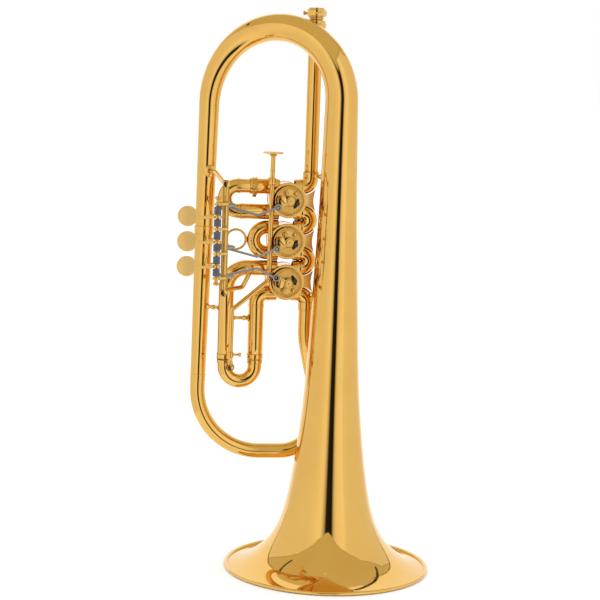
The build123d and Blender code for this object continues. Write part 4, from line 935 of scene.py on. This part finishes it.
lp = on_left(296.0)
P, T = route([A(lp[0] + 1.5, lp[1] - left_r(296.0) - 0.1, 297.0), A(lp[0] + 4.0, 14.0, 297.0), A(xc, AY + 16.8, 290.6), A(xc, AY + 7.86, 290.6)], [8.0, 5.0], 4)
rb2 = [pipe(P, T, 1.8, None, 36),
       lathe([(0, 0), (0, 4.6), (0.7, 4.3), (1.3, 2.6), (2.4, 1.9), (2.4, 0)], (lp[0] + 1.5, lp[1] - left_r(296.0) - 0.1, 297.0), -Y, 48, r=0.3)]
put("rail_bracket_bar", rb2, GOLD, "body", ["rail_bracket"])
P, T = route([A(xc, AY + 7.9, 211.5), A(xc, -6.0, 211.5), A(-69.0, 8.0, 212.5), A(-62.0, 12.4, up), A(-62.0, YV - TUBE_R - 0.1, up)], [5.0, 4.0, 3.0], 4)
rs2 = [pipe(P, T, 1.7, None, 36),
       lathe([(0, 0), (0, 3.2), (0.6, 3.0), (1.3, 1.9), (2.2, 1.7), (2.2, 0)], (-62.0, YV - TUBE_R - 0.05, up), -Y, 40, r=0.25)]
put("rail_support_bar", rs2, GOLD, "body", ["rail_support_arm"])

# ------------------------------------------------------------------ floor, light, camera
def plane(name, pts, mat, glossy_only=False):
    me = bpy.data.meshes.new(name)
    me.from_pydata(pts, [], [tuple(range(len(pts)))])
    ob = bpy.data.objects.new(name, me)
    scene.collection.objects.link(ob)
    me.materials.append(mat)
    if glossy_only:
        ob.visible_camera = ob.visible_diffuse = ob.visible_shadow = ob.visible_transmission = False
    return ob


m, nt, b = nodes_of("floor_paint")
b.inputs["Base Color"].default_value = (0.93, 0.93, 0.93, 1)
b.inputs["Roughness"].default_value = 0.6
b.inputs["Specular IOR Level"].default_value = 0.2
b.inputs["Emission Color"].default_value = (1, 1, 1, 1)
b.inputs["Emission Strength"].default_value = 0.16
plane("floor", [(40 * math.cos(t), 40 * math.sin(t), 0.0) for t in np.linspace(0, 2 * math.pi, 64, endpoint=False)], m)


def emitter(name, strength, colour=(1, 1, 1)):
    m = bpy.data.materials.new(name)
    m.use_nodes = True
    nt = m.node_tree
    nt.nodes.clear()
    e = nt.nodes.new("ShaderNodeEmission")
    e.inputs["Color"].default_value = (*colour, 1)
    e.inputs["Strength"].default_value = strength
    o = nt.nodes.new("ShaderNodeOutputMaterial")
    nt.links.new(e.outputs[0], o.inputs[0])
    return m


CAM = A(-0.2446, -1.2372, 0.3640)


def card(name, az0, az1, dist, z0, z1, mat):
    """Upright card facing the object. Azimuth is measured from -Y towards +X."""
    p = [A(dist * math.sin(math.radians(a)), -dist * math.cos(math.radians(a)), 0) for a in (az0, az1)]
    return plane(name, [tuple(p[0] + Z * z0), tuple(p[1] + Z * z0), tuple(p[1] + Z * z1), tuple(p[0] + Z * z1)], mat, True)


def shade(nt, kind, a, b=None):
    n = nt.nodes.new("ShaderNodeMath")
    n.operation = kind
    for i, v in enumerate((a, b)):
        if v is None:
            continue
        if isinstance(v, (int, float)):
            n.inputs[i].default_value = v
        else:
            nt.links.new(v, n.inputs[i])
    return n.outputs[0]


def wall_paint(name, stops):
    """Emitter whose strength follows the azimuth round the object: stops are (degrees, strength)."""
    m = bpy.data.materials.new(name)
    m.use_nodes = True
    nt = m.node_tree
    nt.nodes.clear()
    co = nt.nodes.new("ShaderNodeTexCoord")
    sx = nt.nodes.new("ShaderNodeSeparateXYZ")
    nt.links.new(co.outputs["Object"], sx.inputs[0])
    az = shade(nt, "ARCTAN2", sx.outputs["X"], shade(nt, "MULTIPLY", sx.outputs["Y"], -1.0))
    fac = shade(nt, "ADD", shade(nt, "MULTIPLY", az, 1 / (2 * math.pi)), 0.5)
    rm = nt.nodes.new("ShaderNodeValToRGB")
    cr = rm.color_ramp
    first = True
    for k, (d, v) in enumerate(stops):
        pos = d / 360.0 + 0.5
        if k < 2:
            el = cr.elements[k]
            el.position = pos
        else:
            el = cr.elements.new(pos)
        el.color = (v, v, v, 1)
    nt.links.new(fac, rm.inputs["Fac"])
    e = nt.nodes.new("ShaderNodeEmission")
    nt.links.new(rm.outputs["Color"], e.inputs["Color"])
    e.inputs["Strength"].default_value = 1.5
    o = nt.nodes.new("ShaderNodeOutputMaterial")
    nt.links.new(e.outputs[0], o.inputs[0])
    return m


def curtain(name, azs, dist, z0, tops, mat, thin=None):
    """Upright sheet bent round the object, its top edge given as an elevation for each azimuth."""
    v, f = [], []
    for a, t in zip(azs, tops):
        ra = math.radians(a)
        x, y = dist * math.sin(ra), -dist * math.cos(ra)
        zt = 0.05 + dist * math.tan(math.radians(t))
        zb = z0 if thin is None else 0.05 + dist * math.tan(math.radians(t - thin))
        v += [(x, y, zb), (x, y, zt)]
    for i in range(len(azs) - 1):
        f.append((2 * i, 2 * i + 2, 2 * i + 3, 2 * i + 1))
    me = bpy.data.meshes.new(name)
    me.from_pydata(v, [], f)
    ob = bpy.data.objects.new(name, me)
    scene.collection.objects.link(ob)
    me.materials.append(mat)
    ob.visible_camera = ob.visible_diffuse = ob.visible_shadow = ob.visible_transmission = False
    return ob


def span_az(a0, a1, n):
    return [a0 + (a1 - a0) * k / n for k in range(n + 1)]


def top_at(a):
    return float(np.interp(a, [-141, -121, -105, -83, -61, -42, -26, -12, -6, 7, 25, 51, 79, 103, 117, 124, 128],
                           [32, 41, 46, 48, 44, 39, 34.5, 26, 25, 36, 42, 48, 50, 42, 38, 30, 26]))


# strengths are given over 1.5
front = wall_paint("panel_front", [(-141, 0.60), (-60, 0.62), (-44, 0.66), (-33, 0.72), (-27, 0.72), (-22, 0.54), (-17.5, 0.30),
                                   (-14, 0.015), (0.5, 0.008), (3.5, 0.30), (7.0, 0.56), (14, 0.70), (32, 0.76), (37, 0.65), (55, 0.62), (128, 0.60)])
azs = span_az(-141, 128, 170)
curtain("panel_front_wrap", azs, 1.6, -0.05, [top_at(a) for a in azs], front)
azs = span_az(-141, 128, 170)
v, f = [], []
for a in azs:
    ra = math.radians(a)
    v += [(r * math.sin(ra), -r * math.cos(ra), 0.0015) for r in (0.28, 1.62)]
for i in range(len(azs) - 1):
    f.append((2 * i, 2 * i + 1, 2 * i + 3, 2 * i + 2))
me = bpy.data.meshes.new("panel_front_foot")
me.from_pydata(v, [], f)
ob = bpy.data.objects.new("panel_front_foot", me)
scene.collection.objects.link(ob)
me.materials.append(front)
ob.visible_camera = ob.visible_diffuse = ob.visible_shadow = ob.visible_transmission = False

# ceiling: a dim dome above the panels
v, f = [], []
els = [12, 20, 30, 40, 50, 60, 70, 80, 89]
for e_ in els:
    for k in range(64):
        ta = 2 * math.pi * k / 64
        v.append((4 * math.cos(math.radians(e_)) * math.sin(ta), -4 * math.cos(math.radians(e_)) * math.cos(ta), 4 * math.sin(math.radians(e_))))
for i in range(len(els) - 1):
    for k in range(64):
        f.append((i * 64 + k, i * 64 + (k + 1) % 64, (i + 1) * 64 + (k + 1) % 64, (i + 1) * 64 + k))
me = bpy.data.meshes.new("ceiling_dome")
me.from_pydata(v, [], f)
for p in me.polygons:
    p.use_smooth = True
ob = bpy.data.objects.new("ceiling_dome", me)
scene.collection.objects.link(ob)
me.materials.append(emitter("ceiling_dim", 0.70, (1.0, 0.94, 0.72)))
ob.visible_camera = ob.visible_diffuse = ob.visible_shadow = ob.visible_transmission = False

azs = span_az(128.8, 218.2, 60)
curtain("panel_back", azs, 1.6, -0.05, [52 if a > 150 else 48 for a in azs], emitter("backdrop_lit", 1.12))
line_dark = emitter("seam_dark", 0.05)
for nm, a in (("seam_left", -141.4), ("seam_right", 128.4)):
    azs = [a - 0.55, a + 0.55]
    curtain(nm, azs, 1.58, -0.05, [52, 52], line_dark)
azs = span_az(-150, -100, 20)
curtain("frame_left", azs, 1.5, 0, [55.0] * 21, line_dark, 1.8)
azs = span_az(109, 160, 24)
curtain("frame_right", azs, 1.5, 0, [float(np.interp(a, [109, 120, 135, 150, 160], [45.5, 49.2, 51.2, 49.8, 46.5])) for a in azs], line_dark, 2.6)
# thin seam where the panels meet the ceiling
azs = span_az(-141, 128, 120)
curtain("seam_top", azs, 1.55, 0, [top_at(a) + 0.35 for a in azs], emitter("seam_grey", 0.28), 0.5)

world = bpy.data.worlds.new("studio")
scene.world = world
world.use_nodes = True
wt = world.node_tree
bg = wt.nodes["Background"]
bg.inputs["Color"].default_value = (1, 1, 1, 1)
bg.inputs["Strength"].default_value = 1.0

scene.view_settings.view_transform = "Standard"
scene.view_settings.look = "None"
scene.cycles.max_bounces = 16
scene.cycles.glossy_bounces = 12
scene.cycles.blur_glossy = 0.2

cam_data = bpy.data.cameras.new("camera")
cam = bpy.data.objects.new("camera", cam_data)
scene.collection.objects.link(cam)
cam_data.sensor_width = 36.0
cam_data.lens = 102.0
cam_data.clip_start, cam_data.clip_end = 0.05, 100
rot = Matrix.Rotation(math.radians(-10.0), 4, "Z") @ Matrix.Rotation(math.radians(90 - 7.24), 4, "X") @ Matrix.Rotation(math.radians(1.9), 4, "Z")
cam.matrix_world = Matrix.Translation(Vector(CAM)) @ rot
scene.camera = cam
